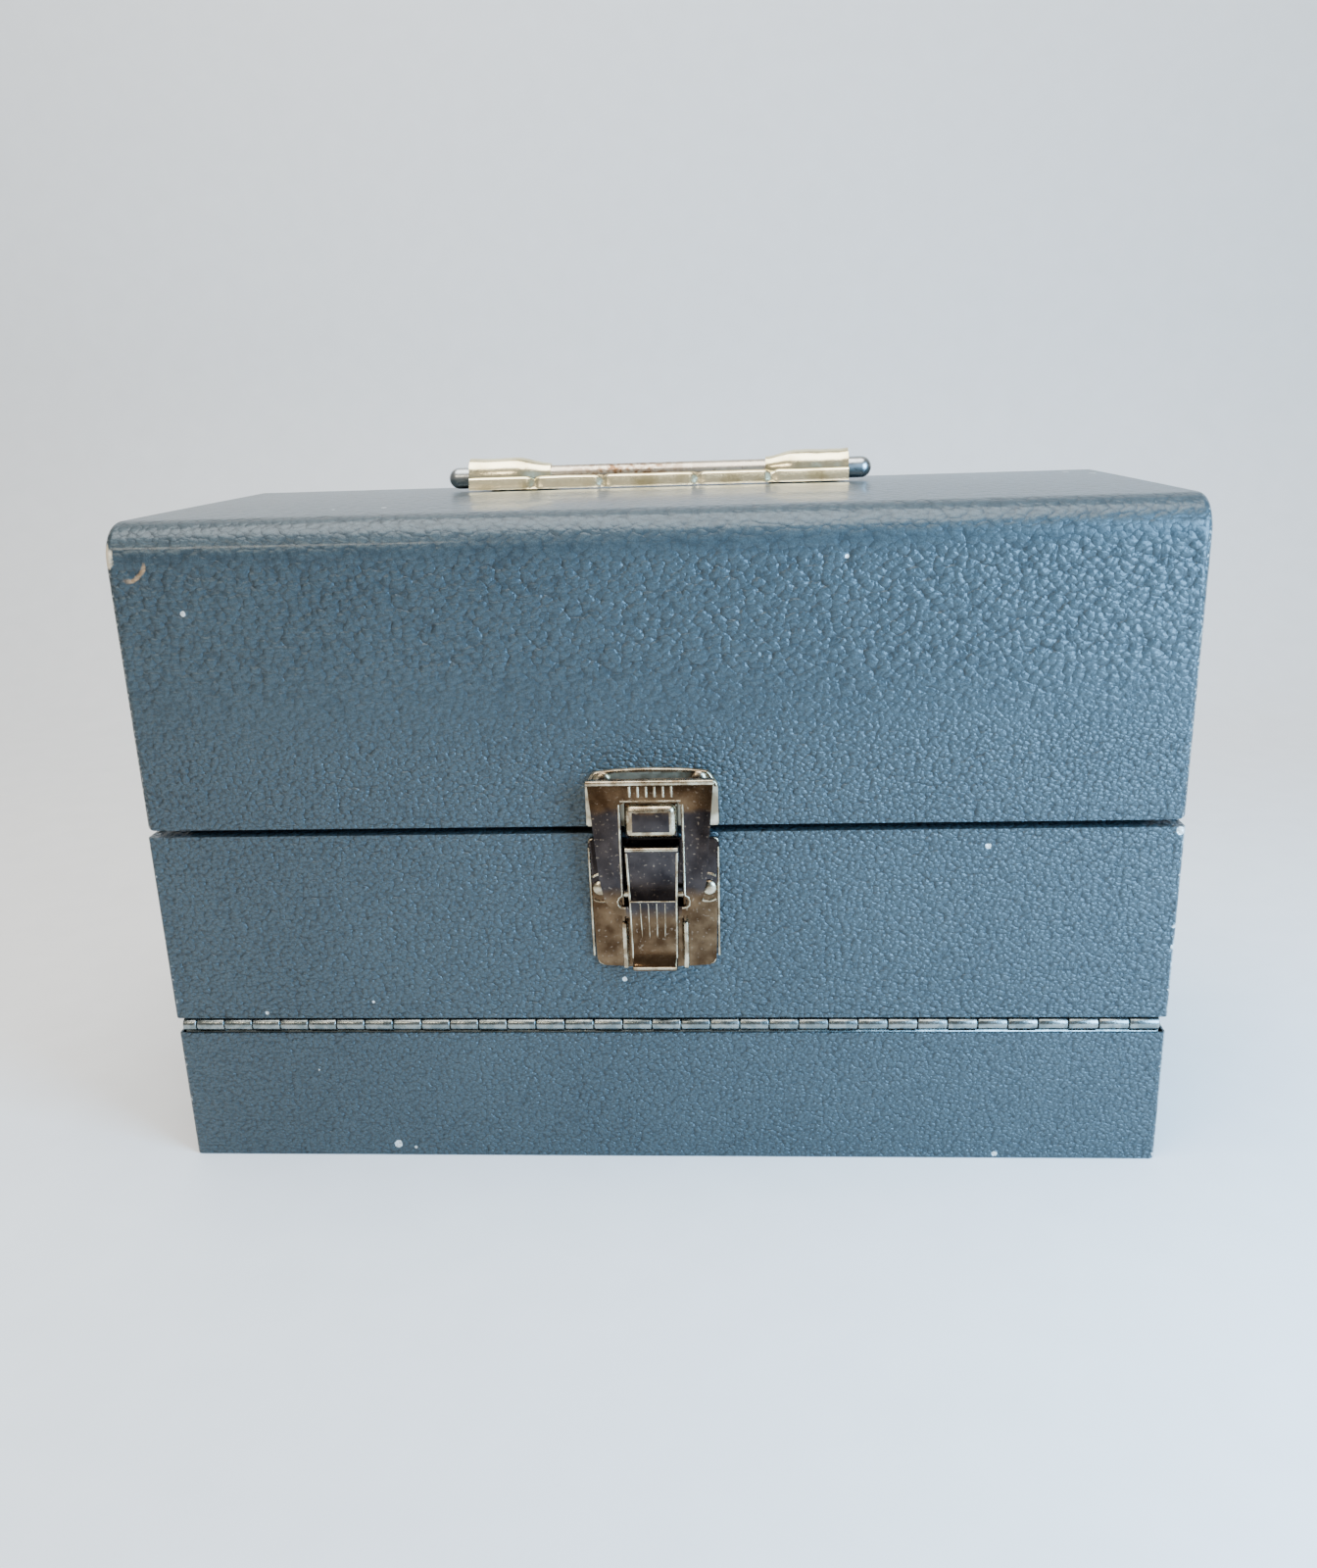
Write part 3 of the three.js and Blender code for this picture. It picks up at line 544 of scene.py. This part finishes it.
def softened(node, body, material, bevel, corner_bevel=0, corner_faces=(), crease=35):
    """A copy of a CAD node with rounded edges, and rounder corners at corner_faces (their y)."""
    mesh = bmesh.new()
    mesh.from_mesh(frame["nodes"][node].data)
    bmesh.ops.scale(mesh, vec=(1 / MM,) * 3, verts=mesh.verts)
    bmesh.ops.remove_doubles(mesh, verts=mesh.verts, dist=0.01)
    bmesh.ops.dissolve_limit(mesh, angle_limit=math.radians(1), verts=mesh.verts, edges=mesh.edges)
    if corner_bevel:
        posts = [edge for edge in mesh.edges if at_corner(edge, corner_faces)]
        round_over(mesh, posts, corner_bevel, 4)
    turn = math.radians(50)
    sharp = [e for e in mesh.edges if len(e.link_faces) == 2 and e.calc_face_angle(0) > turn]
    round_over(mesh, sharp, bevel, 2, clamp_overlap=True)
    return weighted(place_mesh(node + "_skin", mesh, material, body, [node], crease))


# ---- Lid -------------------------------------------------------------------------------------
END_ROUND = 2.6
BOTTOM_CORNER = 2.8


def lid_profile(inset, crown):
    """The lid's front, top and rear as (y, z) points, from the front's foot to the rear's."""
    radius = BEND - inset
    shoulder = CREST - CROWN - BEND
    top = shoulder + radius
    rise = shoulder - LID_BOTTOM
    points = [(FRONT + inset, LID_BOTTOM + rise * t / 10) for t in range(10)]
    for k in range(17):
        angle = math.pi * (1 - k / 32)
        points.append((FRONT + BEND + radius * math.cos(angle), shoulder + radius * math.sin(angle)))
    for k in range(1, 24):
        t = k / 24
        y = FRONT + BEND + (REAR - FRONT - 2 * BEND) * t
        points.append((y, top + crown * 4 * t * (1 - t)))
    for k in range(17):
        angle = math.pi / 2 * (1 - k / 16)
        points.append((REAR - BEND + radius * math.cos(angle), shoulder + radius * math.sin(angle)))
    points += [(REAR - inset, shoulder - rise * t / 10) for t in range(1, 11)]
    return points


def lid_stations():
    """(x, inset) along the lid. The inset grows over each end's rounded edge."""
    edge = []
    for k in range(8):
        angle = math.pi / 2 * k / 7
        x = HALF_WIDTH - END_ROUND + END_ROUND * math.sin(angle)
        edge.append((x, END_ROUND * (1 - math.cos(angle))))
    middle = [((HALF_WIDTH - END_ROUND) * k / 14, 0.0) for k in range(14)]
    half = middle + edge
    return [(-x, inset) for x, inset in reversed(half[1:])] + half


def corner_lift(x, y, z):
    """How far the front's lower corners are rounded up at this place."""
    beside = max(0.0, (abs(x) - (HALF_WIDTH - BOTTOM_CORNER)) / BOTTOM_CORNER)
    ahead = max(0.0, 1 - (y - FRONT) / (2 * BOTTOM_CORNER))
    low = max(0.0, 1 - (z - LID_BOTTOM) / 12)
    return BOTTOM_CORNER * (1 - math.sqrt(max(0.0, 1 - beside ** 2))) * ahead * low


def lid():
    rings = []
    for x, inset in lid_stations():
        crown = CROWN * (1 - (abs(x) / HALF_WIDTH) ** 3)
        profile = lid_profile(inset, crown)
        rings.append([(x, y, z + corner_lift(x, y, z)) for y, z in profile])
    mesh = bmesh.new()
    rows = loft(mesh, rings, closed=False, capped=False)
    mesh.faces.new(rows[0])
    mesh.faces.new(rows[-1])
    piece = place_mesh("lid", mesh, LID_PAINT, "lid", ["lid_shell"], crease=40)
    return weighted(thicken(piece, SHEET))


# ---- Piano hinges ----------------------------------------------------------------------------
KNUCKLES = 33
KNUCKLE_GAP = 0.3
KNUCKLE_ROUND = 0.32
BARREL = 2.15
BORE = 1.05
LEAF = 0.9


def knuckle(mesh, start, length, axis, sag):
    """One rolled knuckle from x = start, a little sunken or swollen in its middle."""
    end = KNUCKLE_ROUND
    profile = [
        (BORE, 0),
        (BARREL - end, 0),
        (BARREL - 0.09, 0.1),
        (BARREL, end),
        (BARREL - 0.05 + sag, length / 2),
        (BARREL, length - end),
        (BARREL - 0.09, length - 0.1),
        (BARREL - end, length),
        (BORE, length),
    ]
    lathe(mesh, profile, (start, axis.y, axis.z), "X", 24)


def hinge_leaf(node, body, parity, up):
    """One leaf: its hidden plate and every other rolled knuckle, each on a short strap."""
    low, high = millimetres(node)
    axis = middle_of(node.split("_hinge_")[0] + "_hinge_pin")
    pitch = (high.x - low.x) / (KNUCKLES + 0.5)
    behind = axis.y - 0.1 if node.startswith("front") else axis.y - BARREL
    leaf_y = (behind, behind + LEAF)
    plate_z = (axis.z + 2.5, high.z) if up > 0 else (low.z, axis.z - 2.5)
    strap_z = (axis.z + 1.2, axis.z + 3) if up > 0 else (axis.z - 3, axis.z - 1.2)
    mesh = bmesh.new()
    block(mesh, (low.x, high.x), leaf_y, plate_z, 0.2, 1)
    for i in range(parity, KNUCKLES + 1, 2):
        start = low.x if i == 0 else low.x + (i - 0.5) * pitch
        end = low.x + (i + 0.5) * pitch - KNUCKLE_GAP
        knuckle(mesh, start, end - start, axis, 0.06 * noise.noise((i * 3.7, 0, 0)))
        block(mesh, (start + 0.1, end - 0.1), leaf_y, strap_z, 0.15, 1)
    return place_mesh(
        node + "_rolled", mesh, KNUCKLE_STEEL, body, [node], crease=50)


# ---- Draw latch ------------------------------------------------------------------------------
PLATE_FACE = FRONT - 1.5
HASP_FACE = FRONT - 7.7
LEVER_FACE = FRONT - 9.7
LEVER_BACK = FRONT - 5.1
LATCH_SHEET = 1.2
EAR_RADIUS = 2.0
BASE_RIVET = (17.4, 99.2)  # x and z
STRIKE_RIVET = (15.0, 135.4)
RIVET_SHANK = 1.55
RIVET_HEAD = 2.5


def dome(mesh, x, z, height, grip):
    """A rivet with a domed head in front and a small closed head behind."""
    profile = [
        (RIVET_HEAD * 0.6, grip + 1.2),
        (RIVET_HEAD * 0.7, grip + 0.3),
        (RIVET_SHANK, grip + 0.3),
        (RIVET_SHANK, -0.3),
        (RIVET_HEAD, -0.3),
    ]
    for k in range(1, 7):
        angle = math.pi / 2 * k / 6
        out = -0.3 - (height - 0.3) * math.sin(angle)
        profile.append((RIVET_HEAD * math.cos(angle) + 0.02, out))
    lathe(mesh, profile, (x, PLATE_FACE, z), "Y", 28)


def latch_piece(name, mesh, materials, body, node):
    return place_mesh(name, mesh, materials, body, [node], crease=50)


def mirrored(corners):
    """The same (x, z, radius) corners on the other side, so that an outline runs on through them."""
    return [(-x, z, radius) for x, z, radius in reversed(corners)]


def tube(mesh, path, radius, sides=10):
    """A round bead along a path of points that lies in one (x, z) plane."""
    points = [Vector(p) for p in path]
    rings = []
    for i, point in enumerate(points):
        ahead = points[min(i + 1, len(points) - 1)] - points[max(i - 1, 0)]
        ahead.normalize()
        out = Vector((0, -1, 0))
        side = ahead.cross(out)
        ring = []
        for k in range(sides):
            angle = 2 * math.pi * k / sides
            ring.append(point + side * radius * math.cos(angle) + out * radius * math.sin(angle))
        rings.append(ring)
    loft(mesh, rings, finish=EDGE)


def strike_plate():
    """Fixed to the lid. Its arched top edge is rolled into a bead."""
    half, foot, top = strike_high.x, strike_low.z, strike_high.z
    sole = [(-half + 0.4, foot, 0.5), (half - 0.4, foot, 0.5)]
    shoulder = [(half - 0.5, top - 5.5, 1.5), (half - 3.2, top - 1.3, 2.0)]
    arch = [(x, top - 0.2 - 0.0027 * x * x, 2.0) for x in (12, 6, 0, -6, -12)]
    outline = rounded(sole + shoulder + arch + mirrored(shoulder), 4)
    mesh = bmesh.new()
    bevelled_prism(mesh, outline, strike_low.y, strike_high.y, 0.4)
    upper = [(x, z) for x, z in outline if z > foot + 3]
    bead = [(x * 0.975, strike_low.y + 0.1, foot + (z - foot) * 0.97) for x, z in upper]
    tube(mesh, bead, 0.62)
    latch_piece("strike_plate", mesh, (STRIKE_NICKEL, LATCH_EDGE), "lid", "latch_strike_plate")


def keeper():
    """A block on the lid with a pillow-shaped front."""
    mesh = bmesh.new()
    low, high = keeper_low, keeper_high
    block(mesh, (low.x, high.x), (low.y + 2.2, high.y), (low.z, high.z), 0.6)
    pillow_x = (low.x + 0.3, high.x - 0.3)
    pillow_z = (low.z + 0.1, high.z - 0.1)
    block(mesh, pillow_x, (low.y, high.y - 0.3), pillow_z, 2.2, 6, FACE, EDGE)
    latch_piece("keeper", mesh, LATCH_PLATING, "lid", "latch_keeper")


def recess_rim(mesh, sign, half):
    """The bright rim of the round recess for a rivet, as far as the base plate reaches."""
    rivet_x, rivet_z = BASE_RIVET
    rim = []
    for k in range(25):
        angle = math.radians(-150 + 300 * k / 24)
        x = rivet_x - 0.4 - 4.7 * math.cos(angle)
        if x < half - 0.7:
            rim.append((sign * x, PLATE_FACE, rivet_z + 4.7 * math.sin(angle)))
    tube(mesh, rim, 0.45, 8)


def base_plate():
    """Fixed to the flap, with the rails beside the lever and the ears that hold its pin."""
    half, low, high = 20.9, plate_low.z, plate_high.z
    root = PLATE_FACE + 0.2
    pin = middle_of("latch_lever_pin")
    bottom = [(-half + 1.5, low + 0.6, 2.4), (-8, low, 3), (8, low, 3), (half - 1.5, low + 0.6, 2.4)]
    top = [(half, high, 1.6), (-half, high, 1.6)]
    mesh = bmesh.new()
    bevelled_prism(mesh, rounded(bottom + top), PLATE_FACE, FRONT - 0.3, 0.45)
    for _, sign in SIDES:
        recess_rim(mesh, sign, half)
        lower_end = (sign * (half - 0.55), PLATE_FACE, low + 4)
        upper_end = (sign * (half - 0.35), PLATE_FACE, high - 3)
        tube(mesh, [lower_end, upper_end], 0.4, 8)
        block(mesh, span(sign, 9.0, 10.6), (FRONT - 5, root), (72.6, 88.5), 0.45, 3, EDGE, EDGE)
        ear_x = span(sign, 5.3, 6.9)
        block(mesh, ear_x, (pin.y, root), (pin.z - EAR_RADIUS, pin.z + EAR_RADIUS), 0.3)
        lathe(mesh, [(EAR_RADIUS, 0), (EAR_RADIUS, 1.6)], (ear_x[0], pin.y, pin.z), "X")
    latch_piece("base_plate", mesh, LATCH_PLATING, "drop_front", "latch_base_plate")


def lever_ring(z, half, face, back, wall=LATCH_SHEET):
    """The lever's channel section at one height, as a closed ring of (x, y, z) points."""
    soft = 0.9
    arc = []
    for k in range(5):
        angle = math.pi / 2 * k / 4
        arc.append((soft * (1 - math.cos(angle)), soft * (1 - math.sin(angle))))
    right = [(half, back)] + [(half - a, face + b) for a, b in arc]
    left = [(-x, y) for x, y in reversed(right)]
    inside = [(half - wall, face + wall), (half - wall, back)]
    inner = [(-x, y) for x, y in reversed(inside)] + inside
    return [(x, y, z) for x, y in right + left + inner]


def lever():
    """A channel with a creased face. Four fine lines run down from the crease to the thumb end."""
    top, bottom, face = lever_high.z, lever_low.z, LEVER_FACE
    crease = 97.5
    stations = (  # height, half width, and how far the face lies behind LEVER_FACE
        (top, 8.6, 0.5),
        (top - 0.5, 8.6, -0.5),
        (top - 1.6, 8.5, -0.6),
        (top - 2.4, 8.3, 0.1),
        (106, 8.0, 0.2),
        (crease + 0.6, 7.8, 0.1),
        (crease, 7.8, -0.25),
        (crease - 0.6, 7.75, 0.1),
        (89, 7.6, 0.5),
        (82, 7.45, 0.6),
        (77, 7.3, 0.2),
        (bottom + 1.8, 7.2, -0.4),
        (bottom + 0.7, 7.2, -1.1),
        (bottom, 7.1, -0.9),
    )
    mesh = bmesh.new()
    loft(mesh, [lever_ring(z, half, face + behind, LEVER_BACK) for z, half, behind in stations])
    tube(mesh, [(-8.2, face - 0.25, top - 0.9), (8.2, face - 0.25, top - 0.9)], 0.62)
    tube(mesh, [(-7.5, face - 0.22, crease), (7.5, face - 0.22, crease)], 0.17, 8)
    tube(mesh, [(-6.9, face - 0.8, bottom + 0.8), (6.9, face - 0.8, bottom + 0.8)], 0.42)
    for x in (-4.2, -1.6, 1.1, 3.8):
        start = (x * 0.98, face + 0.10, crease - 0.7)
        tube(mesh, [start, (x * 0.95, face + 0.50, 90), (x * 0.9, face + 0.72, 84.5)], 0.15, 8)
    for _, sign in SIDES:
        waist = (sign * 7.35, face + 0.35, crease)
        tube(mesh, [(sign * 7.9, face + 0.45, top - 2), waist], 0.40, 8)
        tube(mesh, [waist, (sign * 7.0, face + 0.75, 78)], 0.30, 8)
        block(mesh, span(sign, 7.4, 8.6), (FRONT - 8.6, FRONT - 3.4), (109.9, 114.6), 0.35)
    latch_piece("lever", mesh, LATCH_PLATING, "lever", "latch_lever")


def hasp_outline():
    """The hasp's face: a wide U upside down. Its feet run in behind the lever."""
    outer = [
        (19.6, 136.8, 0.6),
        (18.4, 122.0, 9.0),
        (17.0, 104.0, 4.0),
        (15.4, 96.6, 4.0),
        (11.4, 92.2, 3.0),
    ]
    inner = [
        (7.0, 91.4, 0.5),
        (7.0, 95.0, 0.5),
        (10.5, 94.9, 0.6),
        (11.1, 96.8, 0.5),
        (9.5, 98.2, 0.5),
        (9.3, 129.4, 0.8),
    ]
    right = outer + inner
    return rounded(right + mirrored(right), 5)


def hasp():
    """A sheet with a forward lip, six short ribs and bright rims round its window."""
    face = HASP_FACE
    back = face + LATCH_SHEET
    window_rim = (
        (9.9, 128.8), (9.9, 98.8), (11.0, 98.0), (11.5, 96.8), (11.3, 95.4), (10.6, 94.7), (9.0, 94.5))
    mesh = bmesh.new()
    bevelled_prism(mesh, hasp_outline(), face, back, 0.28)
    for _, sign in SIDES:
        tube(mesh, [(sign * x, face + 0.15, z) for x, z in window_rim], 0.36, 8)
        block(mesh, span(sign, 9.3, 10.3), (back - 0.2, FRONT - 3.2), (89.7, 101), 0.25)
    block(mesh, (-20, 20), (face - 1.6, face + 0.6), (135.2, 136.8), 0.55, 4, EDGE, EDGE)
    block(mesh, (-10.3, 10.3), (FRONT - 4.5, FRONT - 3.2), (89.7, 93.5), 0.3)
    tube(mesh, [(-9.4, face + 0.1, 129.9), (9.4, face + 0.1, 129.9)], 0.30, 8)
    for k in range(6):
        x = -6.4 + 2.6 * k
        tube(mesh, [(x, face + 0.2, 131.2), (x, face + 0.2, 134.6)], 0.45, 10)
    latch_piece("hasp", mesh, LATCH_PLATING, "hasp", "latch_hasp")


def latch_rivets():
    kinds = (("strike_rivet", "lid", STRIKE_RIVET), ("latch_rivet", "drop_front", BASE_RIVET))
    for kind, body, (x, z) in kinds:
        for side, sign in SIDES:
            mesh = bmesh.new()
            dome(mesh, sign * x, z, 1.5, 2.5)
            node = side + "_" + kind
            latch_piece(node + "_dome", mesh, LATCH_EDGE, body, node)


# ---- Handle ----------------------------------------------------------------------------------
ROD = (rod_low + rod_high) / 2
ROD_RADIUS = 3.6
CURL = 6.75
TONGUE = 4.4
GRIP_HALF = 65.8
EAR_START = 37.5
HANDLE_SHEET = 0.8
SHEET_FLOOR = CREST + 0.5
CREASES = (-43, -19, 14, 39.5)


def grip_bar():
    """The folded strip along the grip's front, with a crease pressed across it in four places."""
    rings = []
    count = 132
    floor = SHEET_FLOOR
    for k in range(count + 1):
        x = -GRIP_HALF + 2 * GRIP_HALF * k / count
        pinch = sum(math.exp(-((x - crease) / 1.2) ** 2) for crease in CREASES)
        wave = 0.12 * noise.noise((x * 0.11, 3.1, 0))
        front = ROD.y - 8.2 + 0.9 * pinch + wave
        top = ROD.z + 0.3 - 0.9 * pinch + wave
        section = (
            (front, floor),
            (front + 0.5, floor + 0.9),
            (front + 1.0, top - 0.7),
            (front + 1.5, top - 0.1),
            (front + 2.1, top),
            (front + 2.6, top - 0.5),
            (front + 1.4, floor),
        )
        rings.append([(x, y, z) for y, z in section])
    mesh = bmesh.new()
    loft(mesh, rings)
    return mesh


def curl(radius):
    """An arc round the rod as (y, z) points, from in front of it over its top to behind it."""
    points = []
    for i in range(19):
        angle = math.radians(200 - 175 * i / 18)
        points.append((ROD.y + radius * math.cos(angle), ROD.z + radius * math.sin(angle)))
    return points


def ear(mesh, sign):
    """The sheet's end, curled over the rod. Its inner end slopes down like a tongue."""
    rings = []
    count = 30
    for k in range(count + 1):
        x = EAR_START + (GRIP_HALF - EAR_START) * k / count
        rise = min(1.0, (x - EAR_START) / 11.0)
        rise = rise * rise * (3 - 2 * rise)
        dent = 0.30 * noise.noise((x * 0.16, sign * 7.0, 1.5)) - 0.30
        flare = 0.3 * max(0.0, (x - GRIP_HALF + 3) / 3)
        radius = TONGUE + (CURL - TONGUE + dent) * rise + flare
        outside = [(ROD.y - 8.0, SHEET_FLOOR)] + curl(radius)
        inside = curl(radius - HANDLE_SHEET)[::-1] + [(ROD.y - 7.0, SHEET_FLOOR)]
        rings.append([(sign * x, y, z) for y, z in outside + inside])
    loft(mesh, rings)


def handle():
    """Front strip, the two ears and the legs that run back to the hinge brackets."""
    mesh = grip_bar()
    hinge = middle_of("left_handle_pin")
    leg_z = (hinge.z - 0.6, hinge.z + 0.6)
    barrel = [(1.25, 0), (2.3, 0), (2.5, 0.25), (2.5, 11.75), (2.3, 12), (1.25, 12)]
    for _, sign in SIDES:
        ear(mesh, sign)
        block(mesh, span(sign, 38.3, GRIP_HALF), (ROD.y + 5.0, hinge.y - 3.3), leg_z, 0.3)
        middle = sign * 52.0
        block(mesh, (middle - 6.2, middle + 6.2), (hinge.y - 4.0, hinge.y), leg_z, 0.3)
        lathe(mesh, barrel, (middle - 6, hinge.y, hinge.z), "X", 20)
    nodes = ["handle_plate"]
    place_mesh("handle_sheet", mesh, HANDLE_PLATING, "handle", nodes, crease=45)


def rod():
    """A round bar with domed ends."""
    half = rod_high.x
    end = []
    for k in range(9):
        angle = math.pi / 2 * k / 8
        radius = max(0.03, ROD_RADIUS * math.sin(angle))
        end.append((radius, -half + ROD_RADIUS * (1 - math.cos(angle))))
    shaft = [(ROD_RADIUS, x) for x in (-50, -25, 0, 25, 50)]
    other_end = [(radius, -along) for radius, along in reversed(end)]
    mesh = bmesh.new()
    lathe(mesh, end + shaft + other_end, (0, ROD.y, ROD.z), "X", 32)
    place_mesh("grip_rod", mesh, ROD_STEEL, "handle", ["handle_rod"], crease=60)


# ---- Inside ----------------------------------------------------------------------------------
def body_of_node():
    owners = {}
    for body, nodes in frame["record"]["behaviour"]["bodies"].items():
        for node in nodes:
            owners[node] = body
    return owners


def soften_the_rest():
    """Hidden and inner sheet metal keeps its CAD shape with rounded edges."""
    owner = body_of_node()
    base_low, base_high = millimetres("base_shell")
    base_corners = (base_low.y, base_high.y)
    softened("base_shell", owner["base_shell"], CASE_PAINT, 0.35, 1.7, base_corners)
    softened("front_flap", owner["front_flap"], FLAP_PAINT, 0.4, 1.2, (FRONT,))
    for side, _ in SIDES:
        jamb = side + "_jamb"
        bracket = side + "_handle_bracket"
        softened(jamb, owner[jamb], CASE_PAINT, 0.25)
        softened(bracket, owner[bracket], HANDLE_PLATING, 0.2)
    for node, body in owner.items():
        if "tray" in node and "arm" not in node:
            softened(node, body, TRAY_PAINT, 0.25)
        elif node.endswith("_arm") or "arm_plate" in node or "lid_pivot" in node:
            softened(node, body, ZINC, 0.2)


def repaint():
    """CAD nodes that stay as they are get their finish."""
    finishes = {
        "pin": KNUCKLE_STEEL,
        "handle_rivet": HANDLE_PLATING,
        "handle_pin": ROD_STEEL,
        "latch": LATCH_EDGE,
    }
    for name, node in frame["nodes"].items():
        for words, material in finishes.items():
            if words in name and not node.hide_render:
                node.material_slots[0].material = material


# ---- Stage -----------------------------------------------------------------------------------
def backdrop():
    """A pale floor that curves up into a pale wall."""
    start, back, sweep, top, half = -1600, 500, 300, 2200, 2500
    profile = [(start, 0), (back, 0)]
    for k in range(1, 13):
        angle = math.pi / 2 * k / 12
        profile.append((back + sweep * math.sin(angle), sweep * (1 - math.cos(angle))))
    profile.append((back + sweep, top))
    mesh = bmesh.new()
    rings = [[(x, y, z - 0.2) for y, z in profile] for x in (-half, half)]
    loft(mesh, rings, closed=False, capped=False)
    bmesh.ops.scale(mesh, vec=(MM, MM, MM), verts=mesh.verts)
    data = bpy.data.meshes.new("backdrop")
    mesh.to_mesh(data)
    mesh.free()
    data.shade_smooth()
    pale = Finish("backdrop", Roughness=0.75)
    grain = pale.ramp(pale.noise(0.02, 3).outputs["Fac"], 0.2, 0.8)
    colour = pale.mix(grain, (0.74, 0.74, 0.73, 1), (0.78, 0.78, 0.77, 1))
    data.materials.append(pale.finish(colour))
    floor = bpy.data.objects.new("backdrop", data)
    bpy.context.scene.collection.objects.link(floor)


def soft_light(name, at, target, size, power, colour):
    """A rectangular lamp. at, target and size are in metres, power is in watts."""
    data = bpy.data.lights.new(name, "AREA")
    data.shape = "RECTANGLE"
    data.size, data.size_y = size
    data.energy = power
    data.color = colour
    light = bpy.data.objects.new(name, data)
    light.location = at
    light.rotation_euler = (Vector(target) - Vector(at)).to_track_quat("-Z", "Y").to_euler()
    bpy.context.scene.collection.objects.link(light)


def lights():
    """A pale room, a cool window at the right, a soft ceiling and a warm lamp at the left."""
    world = bpy.data.worlds.new("studio")
    world.use_nodes = True
    background = world.node_tree.nodes["Background"]
    background.inputs["Color"].default_value = (0.95, 0.94, 0.92, 1)
    background.inputs["Strength"].default_value = 0.36
    bpy.context.scene.world = world
    cool, neutral, warm = (0.30, 0.62, 1.0), (1.0, 0.99, 0.97), (1.0, 0.87, 0.68)
    soft_light("window", (0.46, -0.40, 0.30), (0.16, -0.07, 0.11), (0.30, 0.4), 14, cool)
    soft_light("ceiling", (-0.1, -0.20, 1.5), (0, 0, 0.12), (1.4, 1.1), 38, neutral)
    soft_light("lamp", (-0.50, -0.80, 0.72), (-0.1, -0.07, 0.2), (0.5, 0.08), 2.6, warm)


def camera():
    """The photograph's view: slightly above the lid's top, turned a little to the left."""
    pitch, yaw, roll = (math.radians(a) for a in (18.081, -4.080, -1.896))
    ahead = Vector((math.sin(yaw) * math.cos(pitch), math.cos(yaw) * math.cos(pitch), -math.sin(pitch)))
    level = Vector((math.cos(yaw), -math.sin(yaw), 0))
    upright = level.cross(ahead)
    right = math.cos(roll) * level + math.sin(roll) * upright
    up = -math.sin(roll) * level + math.cos(roll) * upright
    data = bpy.data.cameras.new("camera")
    data.sensor_width = 36
    data.lens = 30.285
    data.shift_y = 0.0315
    view = bpy.data.objects.new("camera", data)
    turn = Matrix((right, up, -ahead)).transposed().to_4x4()
    view.matrix_world = Matrix.Translation((0.0300, -0.4719, 0.24666)) @ turn
    bpy.context.scene.collection.objects.link(view)
    bpy.context.scene.camera = view


lid()
for end, body in (("front", "drop_front"), ("rear", "lid")):
    flap_leaf = "front_hinge_flap_leaf" if end == "front" else "rear_hinge_lid_leaf"
    hinge_leaf(flap_leaf, body, 0, 1)
    hinge_leaf(end + "_hinge_base_leaf", "case", 1, -1)
strike_plate()
keeper()
base_plate()
lever()
hasp()
latch_rivets()
handle()
rod()
soften_the_rest()
repaint()
backdrop()
lights()
camera()
